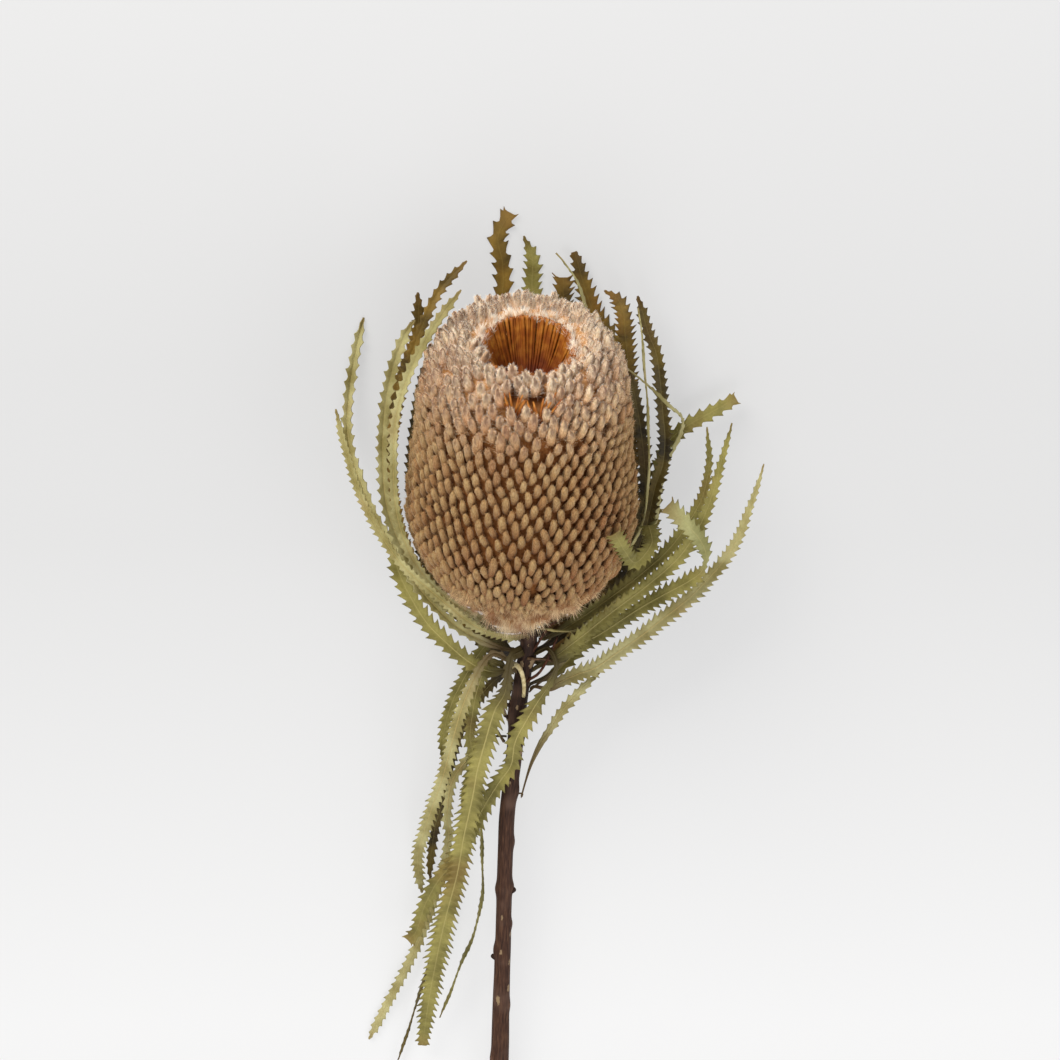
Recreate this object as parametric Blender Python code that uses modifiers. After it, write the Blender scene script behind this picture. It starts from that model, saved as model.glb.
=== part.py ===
"""A dried banksia flower lying on a surface: one woolly head on a woody stem, with saw-toothed leaves.

Units are metres and +Z is up. The origin is the middle of the small flat that the head rests on,
and the head points along +Y. Tables are in millimetres, because a flower is easier to read so.
"""
import math

import bmesh
import bpy
from mathutils import Matrix, Vector
from mathutils.geometry import interpolate_bezier

MM = 0.001
SHARP = math.radians(40)

# The head: a profile turned about its axis, as (along the axis, radius), out to the tips of the
# florets. It rises a little from the surface, towards its crown.
HEAD_PROFILE = [
    (0.0, 9.0), (5.0, 19.0), (13.0, 29.5), (24.0, 38.5), (36.0, 43.8), (46.0, 45.8), (60.0, 46.0),
    (75.0, 45.0), (90.0, 43.2), (101.0, 41.2), (110.0, 38.4), (118.0, 34.6), (124.0, 29.8),
    (127.0, 25.5), (126.5, 21.5),
]
HEAD_RISE = math.radians(11.0)
HEAD_LEAN = math.radians(1.5)
PRESSED = 0.0012

# The florets stand in staggered rings. Each fills a diamond of the net and has a raised tip.
FLORETS_ROUND = 38
FLORET_RINGS = 26
FLORET_DEPTH = 0.0040
TIP_ALONG = 0.80
BELLY_ALONG = 0.36
BELLY_DEPTH = 0.0008

# The pit in the crown, as (along the axis, radius) from its lip down to its floor
PIT_PROFILE = [(121.5, 16.8), (113.0, 15.6), (104.0, 13.5), (97.0, 10.5)]

# The flower tubes stand in the pit as a fluted cup, again as (along the axis, radius), upwards
TUBES_ROUND = 22
TUBES_OUTSIDE = [(97.3, 9.6), (104.0, 12.8), (112.5, 14.8), (117.5, 15.5)]
TUBES_INSIDE = [(117.5, 13.6), (110.0, 12.4), (99.8, 8.0)]
TUBE_FLUTE = 0.0008
TUBE_RAGGED = 0.0030

# The stem, as (across, up, height of its middle, radius), as seen from VIEW_DISTANCE
STEM_ROUTE = [
    (1.0, -8.0, 34.2, 3.3), (1.6, -15.0, 32.9, 3.3), (-0.4, -25.0, 31.2, 3.3),
    (-2.8, -43.0, 28.8, 3.2), (-4.4, -61.0, 26.6, 3.2), (-6.8, -80.0, 24.3, 3.4),
    (-7.6, -92.0, 22.8, 3.6), (-9.0, -142.0, 15.8, 3.9), (-10.0, -180.0, 10.2, 4.0),
    (-10.8, -222.0, 3.95, 4.1),
]
STEM_TOP_RADIUS = 0.0031
STEM_CLEAR = 0.0008
LEAF_CLEAR = 0.0005

# Short stubs of fallen leaves, as (distance below the head, angle round, length, radius)
STEM_STUBS = [(53, -80, 3.2, 0.8), (47, -68, 3.6, 0.9), (136, 84, 1.6, 1.4), (168, -90, 1.4, 1.3)]
STUB_LEAN = 0.5

# Routes are given the way the flower is seen from above its crown: across and up as seen at the
# base of the head, and height over the surface, which places the point on that line of sight.
VIEW_ELEVATION = math.radians(67.5)
VIEW_DISTANCE = 1.5
VIEW_AIM = (2.0, 30.0)
TOWARDS_VIEWER = Vector((0, math.cos(VIEW_ELEVATION), math.sin(VIEW_ELEVATION)))

BLADE_THICKNESS = 0.0007
TOOTH_PITCH = 0.0088
NOTCH = 0.60
PETIOLE_HALF_WIDTH = 0.0009
STALK = 0.14
STALK_START = 0.0016
LEAST_ACROSS = 0.3

PALE = (0.62, 0.58, 0.30)
OLIVE = (0.42, 0.38, 0.16)
BROWN = (0.26, 0.20, 0.07)

# A leaf leaves the stem at a distance below the head and at an angle round it (0 faces the
# viewer, 90 is right). Its route is then (across, up, height). Half width is that of its middle,
# and turn is its twist away from the viewer in degrees, from its base to its tip.
LEAVES = [
    dict(name="leaf_left_front", at=(12, -14), half=3.7, turn=(-10, -10), tone=PALE, route=[
        (-6, -10.5, 43), (-15, -9.2, 49), (-36, 4.8, 60), (-51, 18.4, 61), (-65, 42, 54),
        (-73, 67, 45), (-75.6, 78.4, 41)]),
    dict(name="leaf_left_inner", at=(9, -52), half=3.8, turn=(-15, -15), tone=PALE, route=[
        (-18, -5, 44), (-35, 6, 52), (-46, 20.8, 57), (-51.5, 38.4, 59), (-52.5, 58, 59.5),
        (-51.4, 76, 59), (-45.6, 94, 58), (-36.4, 111, 56), (-25.5, 126, 53)]),
    dict(name="leaf_left_side", at=(15, -78), half=4.0, turn=(0, 0), tone=PALE, route=[
        (-12, -12, 38), (-34, 2, 44), (-47.8, 20.8, 47), (-53.8, 34, 48), (-56.4, 47.6, 48),
        (-56.6, 72.4, 48), (-53, 94, 48), (-47.4, 109.2, 48), (-44, 114, 48)]),
    dict(name="leaf_left_long", at=(22, -62), half=3.7, turn=(0, 0), tone=OLIVE, route=[
        (-9, -17.5, 34), (-17, -14.4, 36), (-27, -8.8, 38), (-34.5, -2, 38.5), (-42.5, 7, 37.5),
        (-49, 17.5, 35), (-60, 35, 27), (-66, 50, 20), (-70, 62, 14), (-71, 76, 8),
        (-68.5, 97, 3), (-64.5, 115, 0.8)]),
    dict(name="leaf_left_low", at=(30, -85), half=4.6, turn=(0, 0), tone=BROWN, route=[
        (-14, -26.5, 31), (-22, -23, 31), (-33, -13.6, 29.5), (-39.5, -6.8, 27), (-46, 3.6, 23),
        (-50, 12, 20), (-54, 24, 17)]),
    dict(name="leaf_left_shoulder", at=(11, -100), half=2.8, turn=(0, 0), tone=BROWN, route=[
        (-14, -9, 26), (-32, 2, 20), (-45, 18, 19), (-52, 40, 21), (-53.5, 60, 25),
        (-51, 79, 29), (-46.5, 97, 33), (-40, 114, 34), (-34, 126, 32), (-23.2, 137.6, 29)]),
    dict(name="leaf_left_shoulder_back", at=(15, -122), half=3.0, turn=(0, 0), tone=BROWN, route=[
        (-13, -14, 20), (-31, 0, 12), (-46, 19, 9), (-54, 45, 9), (-54, 70, 11), (-50, 90, 14),
        (-44.5, 104, 17), (-42.6, 112, 18), (-42.8, 125, 20)]),
    dict(name="leaf_left_under", at=(23, -140), half=3.8, turn=(0, 0), tone=BROWN, route=[
        (-12, -19, 14), (-30, -3, 5), (-42, 15, 1.8), (-48, 35, 1), (-49, 58, 0.8),
        (-45, 80, 0.8), (-40, 99, 1.2)]),
    dict(name="leaf_down_broad", at=(19, -36), half=5.8, turn=(0, 0), tone=OLIVE, route=[
        (-5.5, -21, 39.5), (-8, -35, 39.5), (-12, -42, 38.5), (-16, -55, 37.5),
        (-19, -66, 36.5), (-21, -77, 35), (-24.4, -92.4, 33), (-27.2, -108, 30),
        (-31.2, -123, 26), (-34, -135, 22.5), (-37, -150, 17), (-39, -161.6, 13), (-41, -176, 8)]),
    dict(name="leaf_down_pale", at=(29, -52), half=3.6, turn=(0, 0), tone=PALE, route=[
        (-10, -27.5, 35.5), (-16, -29, 36), (-20, -35, 35.5), (-24.5, -42, 34), (-27.2, -48.4, 32.5),
        (-30.4, -60, 30), (-33.6, -71.2, 27), (-37.2, -81.2, 23.5), (-40.4, -91.2, 19.5),
        (-42.8, -100.4, 15), (-42, -110.8, 11), (-41.2, -115, 9.5)]),
    dict(name="leaf_down_inner", at=(36, -72), half=3.4, turn=(0, 0), tone=BROWN, route=[
        (-11, -32, 28.5), (-18, -33, 27), (-20.8, -39, 26.5), (-21.6, -44, 26), (-22.4, -53, 25),
        (-20.4, -62, 24), (-22, -68, 22.5), (-25.2, -81, 19)]),
    dict(name="leaf_down_dark", at=(25, -102), half=3.4, turn=(0, 0), tone=BROWN, route=[
        (-12, -19, 26), (-18, -22, 24), (-22.4, -27.5, 22), (-27.2, -35, 19.5),
        (-30.4, -41.6, 17.5), (-32, -48, 15.5), (-33.2, -62, 12)]),
    dict(name="leaf_down_under", at=(32, -125), half=3.0, turn=(0, 0), tone=BROWN, route=[
        (-14, -32, 17), (-24, -46, 10), (-29, -60, 7.5), (-32, -74, 6), (-34.5, -84, 4.5),
        (-36, -89, 3.5), (-38, -105, 1.8), (-38, -110, 1.5)]),
    dict(name="leaf_down_ribbon", at=(43, -90), half=2.6, turn=(0, 0), tone=PALE, route=[
        (-12, -47, 23), (-20, -58, 19), (-28.8, -70, 15), (-31.2, -85, 12), (-30.4, -92.4, 11),
        (-34, -110, 9), (-41.2, -131.6, 6), (-48.8, -147.6, 4), (-57.2, -163.6, 2),
        (-62.4, -173.6, 1.2)]),
    dict(name="leaf_down_crossing", at=(20, 62), half=4.8, turn=(0, 0), tone=OLIVE, route=[
        (9.5, -17.5, 37), (12.4, -24, 38.5), (10, -31, 38.5), (5.2, -38.4, 37.5), (0.4, -46.4, 36),
        (-4, -55, 34.5), (-5.6, -64, 32.3), (-10.4, -71, 29.5), (-17.2, -82, 27),
        (-22, -92, 25), (-30.4, -104.8, 23), (-35.6, -111.6, 21), (-40.4, -121, 19),
        (-43.6, -130.8, 16), (-46.8, -134, 15)]),
    dict(name="leaf_down_edge", at=(62, -90), half=2.2, turn=(75, 75), tone=OLIVE, route=[
        (-13, -70, 23), (-17.6, -84, 19.5), (-17.2, -100, 16), (-17.2, -116, 13),
        (-20.4, -131, 10.5), (-25.2, -142.4, 8), (-29.6, -154, 6), (-34, -165, 4)]),
    dict(name="leaf_down_thin", at=(42, -138), half=1.8, turn=(70, 70), tone=BROWN, route=[
        (-13, -48, 15), (-16, -58, 11), (-20, -72, 8), (-24, -90, 6), (-28, -108, 5),
        (-33, -128, 4.2), (-38, -142, 4), (-43.6, -160, 3.2), (-50, -180, 2.4), (-52, -185, 2.4)]),
    dict(name="leaf_right_long", at=(37, 84), half=4.4, turn=(0, 0), tone=PALE, route=[
        (9.6, -33.5, 30), (14, -30.8, 31.5), (21.2, -27.6, 33.5), (28, -25.2, 35.5),
        (37.2, -18.8, 37.5), (46.4, -12.4, 39), (54, -6.4, 38.5), (64.8, 2, 37.5), (74, 11.2, 37),
        (80, 18.4, 37), (85.6, 27.6, 37), (88.8, 36, 36), (92.4, 46, 35), (95.6, 56.4, 33)]),
    dict(name="leaf_right_hooked", at=(25, 95), half=4.2, turn=(0, 0), tone=BROWN, route=[
        (11.2, -22.8, 28), (20, -17, 29), (30, -11.6, 31), (46, -1.2, 36), (56, 4.4, 41),
        (65, 9.2, 44.5), (70.6, 13.5, 47), (72.4, 20, 50), (70, 26, 53), (66, 30.8, 54.5),
        (57.2, 40, 55.5)]),
    dict(name="leaf_right_middle", at=(29, 68), half=4.4, turn=(0, 0), tone=OLIVE, route=[
        (10, -22, 34.5), (20.8, -14, 38), (34.8, -2.8, 41), (49.6, 8.4, 43), (62, 19.6, 43.5),
        (70, 32, 43), (74.8, 44, 42), (78.8, 58, 41), (82.8, 72.8, 39)]),
    dict(name="leaf_right_upper", at=(15, 92), half=4.4, turn=(0, 0), tone=OLIVE, route=[
        (8, -13.5, 31.5), (18, -8, 31), (30, 0, 32), (46, 12, 34), (58, 22.8, 35), (66, 34, 35),
        (71.2, 44, 35), (73.6, 58, 35), (72.8, 71.2, 35)]),
    dict(name="leaf_right_curl", at=(9, 92), half=3.6, turn=(0, 0), tone=PALE, stalk=0.5, route=[
        (12, -7, 28), (26, -1, 26), (38, 7, 26), (46, 16, 26.5), (50, 23, 29), (50.5, 29, 34),
        (49.5, 31.5, 41), (50.8, 25.6, 48), (48.4, 20.8, 54), (44, 17, 61), (40, 21.5, 70),
        (36, 28.5, 78)]),
    dict(name="leaf_right_low", at=(88, 90), half=2.6, turn=(0, 0), tone=PALE, stalk=0.45, route=[
        (-1.6, -77, 25), (2, -64.8, 27.5), (6, -56, 28.5), (10.4, -49.2, 29), (15.2, -42, 29.5),
        (21.2, -35.2, 29.5), (25.6, -30.8, 29.5), (30, -26.8, 29.5)]),
    dict(name="leaf_right_sliver", at=(9, 58), half=1.4, turn=(70, 70), tone=PALE, route=[
        (8, -9.6, 36), (14, -10.4, 35.2), (21.2, -10, 34.6), (25.6, -6.8, 34.6),
        (31.6, -2.4, 34.8), (38, 4, 35.2)]),
    dict(name="leaf_right_behind", at=(22, 122), half=3.8, turn=(0, 0), tone=BROWN, route=[
        (12, -14, 23), (26, 2, 15.4), (38, 16, 13), (44.5, 29, 13), (47.5, 41, 13.5),
        (48, 53, 15), (46, 72, 18), (43, 88, 22), (41.6, 94, 24)]),
    dict(name="leaf_right_tall", at=(31, 114), half=4.0, turn=(0, 0), tone=BROWN, route=[
        (12, -21, 25), (28, -4, 22), (42, 15, 20), (48, 30, 20.5), (50, 38, 21.5),
        (52, 47, 22.5), (55, 56, 23.5), (56, 66, 24), (55, 78, 23.5), (54, 90.4, 22),
        (52.4, 101, 20), (49.4, 108.4, 18), (47, 117.2, 16), (45, 123.6, 14)]),
    dict(name="leaf_right_edge", at=(6, 112), half=2.2, turn=(75, 75), tone=PALE, route=[
        (13, -3, 26), (26, 5, 22.5), (39, 18, 25), (47, 33, 31), (49.4, 50, 35), (49.4, 72, 36),
        (48, 93, 37), (46.4, 111, 36), (45.2, 118.8, 35)]),
    dict(name="leaf_right_thread", at=(40, 108), half=1.7, turn=(60, 60), tone=PALE, route=[
        (12, -26, 23), (30, -6, 16.5), (44, 14, 15.5), (52, 31, 16.5), (54, 46, 17), (57.5, 58, 17.5),
        (62, 68, 19), (62.8, 75, 24), (57, 80.5, 29.5), (49, 88, 31.5), (43, 93, 32.5),
        (40, 95, 33)]),
    dict(name="leaf_right_spur", at=(39, 138), half=3.6, turn=(0, 0), tone=OLIVE, route=[
        (12, -27, 17), (30, -7, 8), (44, 13, 5), (50, 31, 4.5), (53, 50, 5.5), (58, 65, 7.5),
        (65, 72, 8.5), (74, 77.2, 8.5), (83.2, 82.4, 8), (86, 82, 7.5)]),
    dict(name="leaf_top_left", at=(12, -155), half=4.0, turn=(0, 0), tone=BROWN, route=[
        (-8, -6, 17), (-16, 8, 6), (-21, 22, 1.6), (-22.6, 42, 0.9), (-20, 68, 0.8),
        (-14, 98, 0.8), (-9, 124, 0.8), (-9, 137, 0.8), (-10.8, 147, 0.8), (-6, 157, 0.8)]),
    dict(name="leaf_top_middle", at=(7, 162), half=3.6, turn=(0, 0), tone=OLIVE, route=[
        (6, -3, 15), (16, 12, 4), (21.6, 26, 1), (22.8, 44, 0.9), (18, 72, 0.8),
        (9, 104, 0.8), (3, 126, 0.8), (3, 138, 1), (-0.4, 147.6, 1.6)]),
    dict(name="leaf_top_blunt", at=(16, 168), half=4.0, turn=(0, 0), tone=BROWN, route=[
        (9, -9, 12), (22, 9, 3.6), (30, 26, 2.6), (32, 46, 2.6), (28, 78, 2.6),
        (21, 108, 2.8), (16.8, 122, 3.2), (12, 131, 3.6)]),
    dict(name="leaf_top_thread", at=(23, 176), half=1.5, turn=(60, 60), tone=PALE, route=[
        (9, -15, 14), (26, 5, 7), (36, 24, 6), (38, 46, 6), (33.5, 80, 6), (27, 108, 6.5),
        (21.5, 128, 7), (15.6, 137.2, 8), (12.4, 140.8, 8)]),
    dict(name="leaf_top_forked", at=(29, 158), half=4.2, turn=(0, 0), tone=BROWN, route=[
        (11, -20, 12), (25, 0, 5), (38, 21, 2.8), (42, 46, 1.2), (39.5, 80, 1),
        (34, 106, 1.5), (27.4, 117, 2), (23.2, 129, 2.4), (21, 137, 3.2), (19.6, 141.2, 4)]),
    dict(name="leaf_top_right", at=(16, 142), half=3.6, turn=(0, 0), tone=OLIVE, route=[
        (12, -11, 18), (27, 3, 13), (38, 22, 10), (41.5, 46, 9), (42, 74, 9), (41, 98, 11),
        (40, 108.4, 13), (40, 116, 14.5), (38, 122.4, 16), (34.4, 126.5, 17)]),
]


def clear_scene():
    for old in list(bpy.data.objects):
        bpy.data.objects.remove(old)


def new_collection(name):
    collection = bpy.data.collections.new(name)
    bpy.context.scene.collection.children.link(collection)
    return collection


def finish(thing, colour, roughness):
    """Gives a piece a material of its own and shades it smooth between its sharp edges."""
    thing.data.shade_smooth()
    thing.data.set_sharp_from_angle(angle=SHARP)
    material = bpy.data.materials.new(thing.name)
    material.use_nodes = True
    shader = material.node_tree.nodes["Principled BSDF"]
    shader.inputs["Base Color"].default_value = (*colour, 1.0)
    shader.inputs["Roughness"].default_value = roughness
    thing.data.materials.append(material)


def object_from(bm, name, collection):
    mesh = bpy.data.meshes.new(name)
    bmesh.ops.recalc_face_normals(bm, faces=bm.faces)
    bm.to_mesh(mesh)
    bm.free()
    thing = bpy.data.objects.new(name, mesh)
    collection.objects.link(thing)
    return thing


def along(points, where):
    """A point of a polyline of vectors, a whole number being one of its own points."""
    first = min(int(where), len(points) - 2)
    return points[first].lerp(points[first + 1], where - first)


def evenly(points, step):
    """Points along a polyline at equal spacing, close to the step asked for."""
    lengths = [(b - a).length for a, b in zip(points, points[1:])]
    total = sum(lengths)
    count = max(2, round(total / step))
    spots = []
    piece = 0
    passed = 0.0
    for number in range(count + 1):
        wanted = total * number / count
        while piece < len(lengths) - 1 and passed + lengths[piece] < wanted:
            passed += lengths[piece]
            piece += 1
        spots.append(along(points, piece + min(1.0, (wanted - passed) / lengths[piece])))
    return spots


def smooth_through(points):
    """A smooth line through its points: Bezier stretches with handles along the neighbours."""
    line = []
    for index in range(len(points) - 1):
        before = points[max(index - 1, 0)]
        start, end = points[index], points[index + 1]
        after = points[min(index + 2, len(points) - 1)]
        reach = (end - start).length / 3
        out = start + (end - before).normalized() * reach
        back = end - (after - start).normalized() * reach
        line += interpolate_bezier(start, out, back, end, 12)[:-1]
    return line + [points[-1]]


def head_frame():
    """The head's axes: the base, the way along the axis, and two ways across it."""
    axis = Vector((math.sin(HEAD_LEAN), math.cos(HEAD_RISE), math.sin(HEAD_RISE))).normalized()
    right = axis.cross(Vector((0, 0, 1))).normalized()
    front = right.cross(axis)
    outline = smooth_through([Vector((s, r, 0)) * MM for s, r in HEAD_PROFILE])
    lowest = min(outline, key=lambda spot: (axis * spot.x - front * spot.y).z)
    touching = axis * lowest.x - front * lowest.y
    base = -touching - Vector((0, 0, PRESSED))
    return base, axis, right, front


HEAD_BASE, HEAD_AXIS, HEAD_RIGHT, HEAD_FRONT = head_frame()


def on_head(s, radius, angle):
    """A point by its distance along the head's axis, its radius and its angle round it."""
    out = HEAD_RIGHT * math.cos(angle) + HEAD_FRONT * math.sin(angle)
    return HEAD_BASE + HEAD_AXIS * s + out * radius


def seen(across, up, height):
    """The point at a height over the surface that is seen at this place beside the head's base."""
    right = Vector((1, 0, 0))
    upwards = TOWARDS_VIEWER.cross(right)
    plane = HEAD_BASE + (right * across + upwards * up) * MM
    aim = HEAD_BASE + (right * VIEW_AIM[0] + upwards * VIEW_AIM[1]) * MM
    eye = aim + TOWARDS_VIEWER * VIEW_DISTANCE
    reach = (eye.z - height * MM) / (eye.z - plane.z)
    return eye + (plane - eye) * reach


def head_rings():
    """The rings of the floret net, evenly spaced along the profile, as (s, radius, normal)."""
    outline = smooth_through([Vector((s, r, 0)) * MM for s, r in HEAD_PROFILE])
    length = sum((b - a).length for a, b in zip(outline, outline[1:]))
    spots = evenly(outline, length / FLORET_RINGS)
    rings = []
    for index, spot in enumerate(spots):
        before = spots[max(index - 1, 0)]
        after = spots[min(index + 1, len(spots) - 1)]
        run = (after - before).normalized()
        rings.append((spot.x, spot.y, (-run.y, run.x)))
    return rings


def on_net(rings, ring, turn, depth):
    """A point of the floret net, depth below its surface, pressed flat where the head rests."""
    low = min(int(ring), len(rings) - 2)
    part = ring - low
    s, radius = (rings[low][k] * (1 - part) + rings[low + 1][k] * part for k in (0, 1))
    normal = Vector(rings[low][2]).lerp(Vector(rings[low + 1][2]), part)
    angle = 2 * math.pi * turn / FLORETS_ROUND
    outer = on_head(s, radius, angle)
    if outer.z <= 0:
        return Vector((outer.x, outer.y, 0))
    spot = on_head(s - normal.x * depth, radius - normal.y * depth, angle)
    return Vector((spot.x, spot.y, max(spot.z, 0)))


def build_head(collection):
    """The head, raised floret by floret from a net of diamonds, with the pit in its crown."""
    rings = head_rings()
    last = len(rings) - 1
    bm = bmesh.new()
    net = []
    for ring in range(last + 1):
        shift = 0.5 * (ring % 2)
        depth = FLORET_DEPTH * min(1.0, 0.35 + 0.3 * min(ring, last - ring))
        spots = [on_net(rings, ring, i + shift, depth) for i in range(FLORETS_ROUND)]
        net.append([bm.verts.new(spot) for spot in spots])

    def neighbour(ring, i, side):
        return net[ring + 1][(i + side - (ring + 1) % 2) % FLORETS_ROUND]

    for ring in range(last - 1):
        shift = 0.5 * (ring % 2)
        for i in range(FLORETS_ROUND):
            foot, top = net[ring][i], net[ring + 2][i]
            left, right = neighbour(ring, i, 0), neighbour(ring, i, 1)
            belly = bm.verts.new(on_net(rings, ring + 2 * BELLY_ALONG, i + shift, BELLY_DEPTH))
            tip = bm.verts.new(on_net(rings, ring + 2 * TIP_ALONG, i + shift, 0))
            for corners in ((foot, right, belly), (foot, belly, left), (right, tip, belly),
                            (left, belly, tip), (right, top, tip), (top, left, tip)):
                bm.faces.new(corners)
    for i in range(FLORETS_ROUND):
        bm.faces.new((net[0][i], net[0][(i + 1) % FLORETS_ROUND], neighbour(0, i, 1)))
        after = net[last][(i + 1) % FLORETS_ROUND]
        between = net[last - 1][(i + (last % 2)) % FLORETS_ROUND]
        bm.faces.new((net[last][i], between, after))
    close_with_fan(bm, net[0], on_head(0, 0, 0))
    build_pit(bm, net[last], 0.5 * (last % 2))
    head = object_from(bm, "flower_head", collection)
    finish(head, (0.48, 0.31, 0.19), 0.9)
    return head


def close_with_fan(bm, loop, middle):
    centre = bm.verts.new(middle)
    for first, second in zip(loop, loop[1:] + loop[:1]):
        bm.faces.new((first, second, centre))


def build_pit(bm, lip, shift):
    """The wall and floor of the pit, going down from the lip of the crown."""
    loop = lip
    for s, radius in PIT_PROFILE:
        turns = [2 * math.pi * (i + shift) / FLORETS_ROUND for i in range(FLORETS_ROUND)]
        lower = [bm.verts.new(on_head(s * MM, radius * MM, turn)) for turn in turns]
        for i in range(FLORETS_ROUND):
            j = (i + 1) % FLORETS_ROUND
            bm.faces.new((loop[i], loop[j], lower[j]))
            bm.faces.new((loop[i], lower[j], lower[i]))
        loop = lower
    close_with_fan(bm, loop, on_head(PIT_PROFILE[-1][0] * MM, 0, 0))


def fluted_ring(bm, s, radius, rise):
    """A ring of the cup of tubes, every second point set in by a flute and raised by rise."""
    count = 2 * TUBES_ROUND
    flute = TUBE_FLUTE if s > TUBES_OUTSIDE[0][0] else 0
    loop = []
    for i in range(count):
        odd = i % 2
        spot = on_head(s * MM + odd * rise, radius * MM - odd * flute, 2 * math.pi * i / count)
        loop.append(bm.verts.new(spot))
    return loop


def build_tubes(collection):
    """The flower tubes in the pit: a fluted cup with a ragged top, just clear of the pit's wall."""
    bm = bmesh.new()
    profile = TUBES_OUTSIDE + TUBES_INSIDE
    rim = TUBES_OUTSIDE[-1][0]
    loops = [fluted_ring(bm, s, r, TUBE_RAGGED if s == rim else 0) for s, r in profile]
    for lower, upper in zip(loops, loops[1:]):
        for i in range(len(lower)):
            j = (i + 1) % len(lower)
            bm.faces.new((lower[i], lower[j], upper[j]))
            bm.faces.new((lower[i], upper[j], upper[i]))
    close_with_fan(bm, loops[0], on_head(profile[0][0] * MM, 0, 0))
    close_with_fan(bm, loops[-1], on_head(profile[-1][0] * MM, 0, 0))
    tubes = object_from(bm, "crown_tubes", collection)
    finish(tubes, (0.50, 0.22, 0.03), 0.6)
    return tubes


def stem_line():
    """The stem's middle as closely spaced points, with the radius at each."""
    middles = [on_head(-STEM_CLEAR, 0, 0)]
    middles += [seen(across, up, height) for across, up, height, _ in STEM_ROUTE]
    line = smooth_through(middles)
    radii = [Vector((STEM_TOP_RADIUS, 0, 0))]
    radii += [Vector((radius * MM, 0, 0)) for *_, radius in STEM_ROUTE]
    per_stretch = (len(line) - 1) / (len(middles) - 1)
    return line, [along(radii, i / per_stretch).x for i in range(len(line))]


def build_stubs(stubs):
    """The stubs of fallen leaves, sunk into the stem and leaning a little towards the head."""
    for number, (distance, around, length, radius) in enumerate(STEM_STUBS):
        middle, stem_radius, side = on_stem(distance, around)
        way = (side + HEAD_AXIS * STUB_LEAN).normalized()
        reach = length * MM + stem_radius
        bm = bmesh.new()
        bmesh.ops.create_cone(bm, cap_ends=True, segments=6, radius1=radius * MM,
                              radius2=0.7 * radius * MM, depth=reach)
        turned = way.to_track_quat("Z", "X").to_matrix().to_4x4()
        place = Matrix.Translation(middle + way * reach / 2) @ turned
        bmesh.ops.transform(bm, matrix=place, verts=bm.verts)
        object_from(bm, f"stem_stub_{number}", stubs)


def join_all(thing, repeats):
    """Joins every object of a collection to a piece by one Boolean union, and removes them."""
    join = thing.modifiers.new("join", "BOOLEAN")
    join.operation = "UNION"
    join.operand_type = "COLLECTION"
    join.collection = repeats
    bpy.context.view_layer.objects.active = thing
    bpy.ops.object.modifier_apply(modifier=join.name)
    for repeat in list(repeats.objects):
        bpy.data.objects.remove(repeat)
    bpy.data.collections.remove(repeats)


def build_stem(collection):
    """The stem: a tapering tube along its route, square cut at its lower end, with its stubs."""
    line, radii = stem_line()
    curve = bpy.data.curves.new("stem", "CURVE")
    curve.dimensions = "3D"
    curve.bevel_depth = 1.0
    curve.bevel_resolution = 3
    curve.use_fill_caps = True
    spline = curve.splines.new("POLY")
    picked = [*range(0, len(line) - 1, 5), len(line) - 1]
    spline.points.add(len(picked) - 1)
    for point, index in zip(spline.points, picked):
        point.co = (*line[index], 1.0)
        point.radius = radii[index]
    guide = bpy.data.objects.new("stem_curve", curve)
    collection.objects.link(guide)
    bpy.context.view_layer.update()
    seen_by_viewport = guide.evaluated_get(bpy.context.evaluated_depsgraph_get())
    mesh = bpy.data.meshes.new_from_object(seen_by_viewport)
    bpy.data.objects.remove(guide)
    bm = bmesh.new()
    bm.from_mesh(mesh)
    bmesh.ops.remove_doubles(bm, verts=bm.verts, dist=0.00001)
    stem = object_from(bm, "stem", collection)
    stubs = new_collection("stem_stubs")
    build_stubs(stubs)
    join_all(stem, stubs)
    finish(stem, (0.06, 0.03, 0.02), 0.75)
    return stem


def on_stem(distance, around):
    """A point of the stem's middle below the head, its radius there, and the way out of it."""
    line, radii = stem_line()
    passed = 0.0
    index = 0
    while passed < distance * MM:
        passed += (line[index + 1] - line[index]).length
        index += 1
    down = (line[index + 1] - line[index - 1]).normalized()
    front = (TOWARDS_VIEWER - down * TOWARDS_VIEWER.dot(down)).normalized()
    side = Matrix.Rotation(math.radians(-around), 3, down) @ front
    return line[index], radii[index], side


def leaf_shape(part, half, stalk):
    """The half width of a blade at a part of its length: a stalk, a long blade, a blunt tip."""
    if part < stalk:
        grown = part / stalk
        return PETIOLE_HALF_WIDTH + (half - PETIOLE_HALF_WIDTH) * grown ** 2.5
    narrowing = max(0.0, (part - 0.80) / 0.20)
    return half * (1 - 0.45 * narrowing ** 2)


def blade_directions(spine, side, turn):
    """The way across a blade at each of its points, flat to the viewer and then turned.

    The first is square to the way out of the stem, so that the foot of the stalk faces it.
    """
    last = len(spine) - 1
    directions = []
    for index in reversed(range(last + 1)):
        way = (spine[min(index + 1, last)] - spine[max(index - 1, 0)]).normalized()
        if index == 0:
            way = side
        across = way.cross(TOWARDS_VIEWER)
        if across.length < LEAST_ACROSS and directions:
            across = kept - way * kept.dot(way)
        kept = across.normalized()
        degrees = turn[0] + (turn[1] - turn[0]) * index / last
        directions.append(Matrix.Rotation(math.radians(degrees), 3, way) @ kept)
    return directions[::-1]


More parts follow.
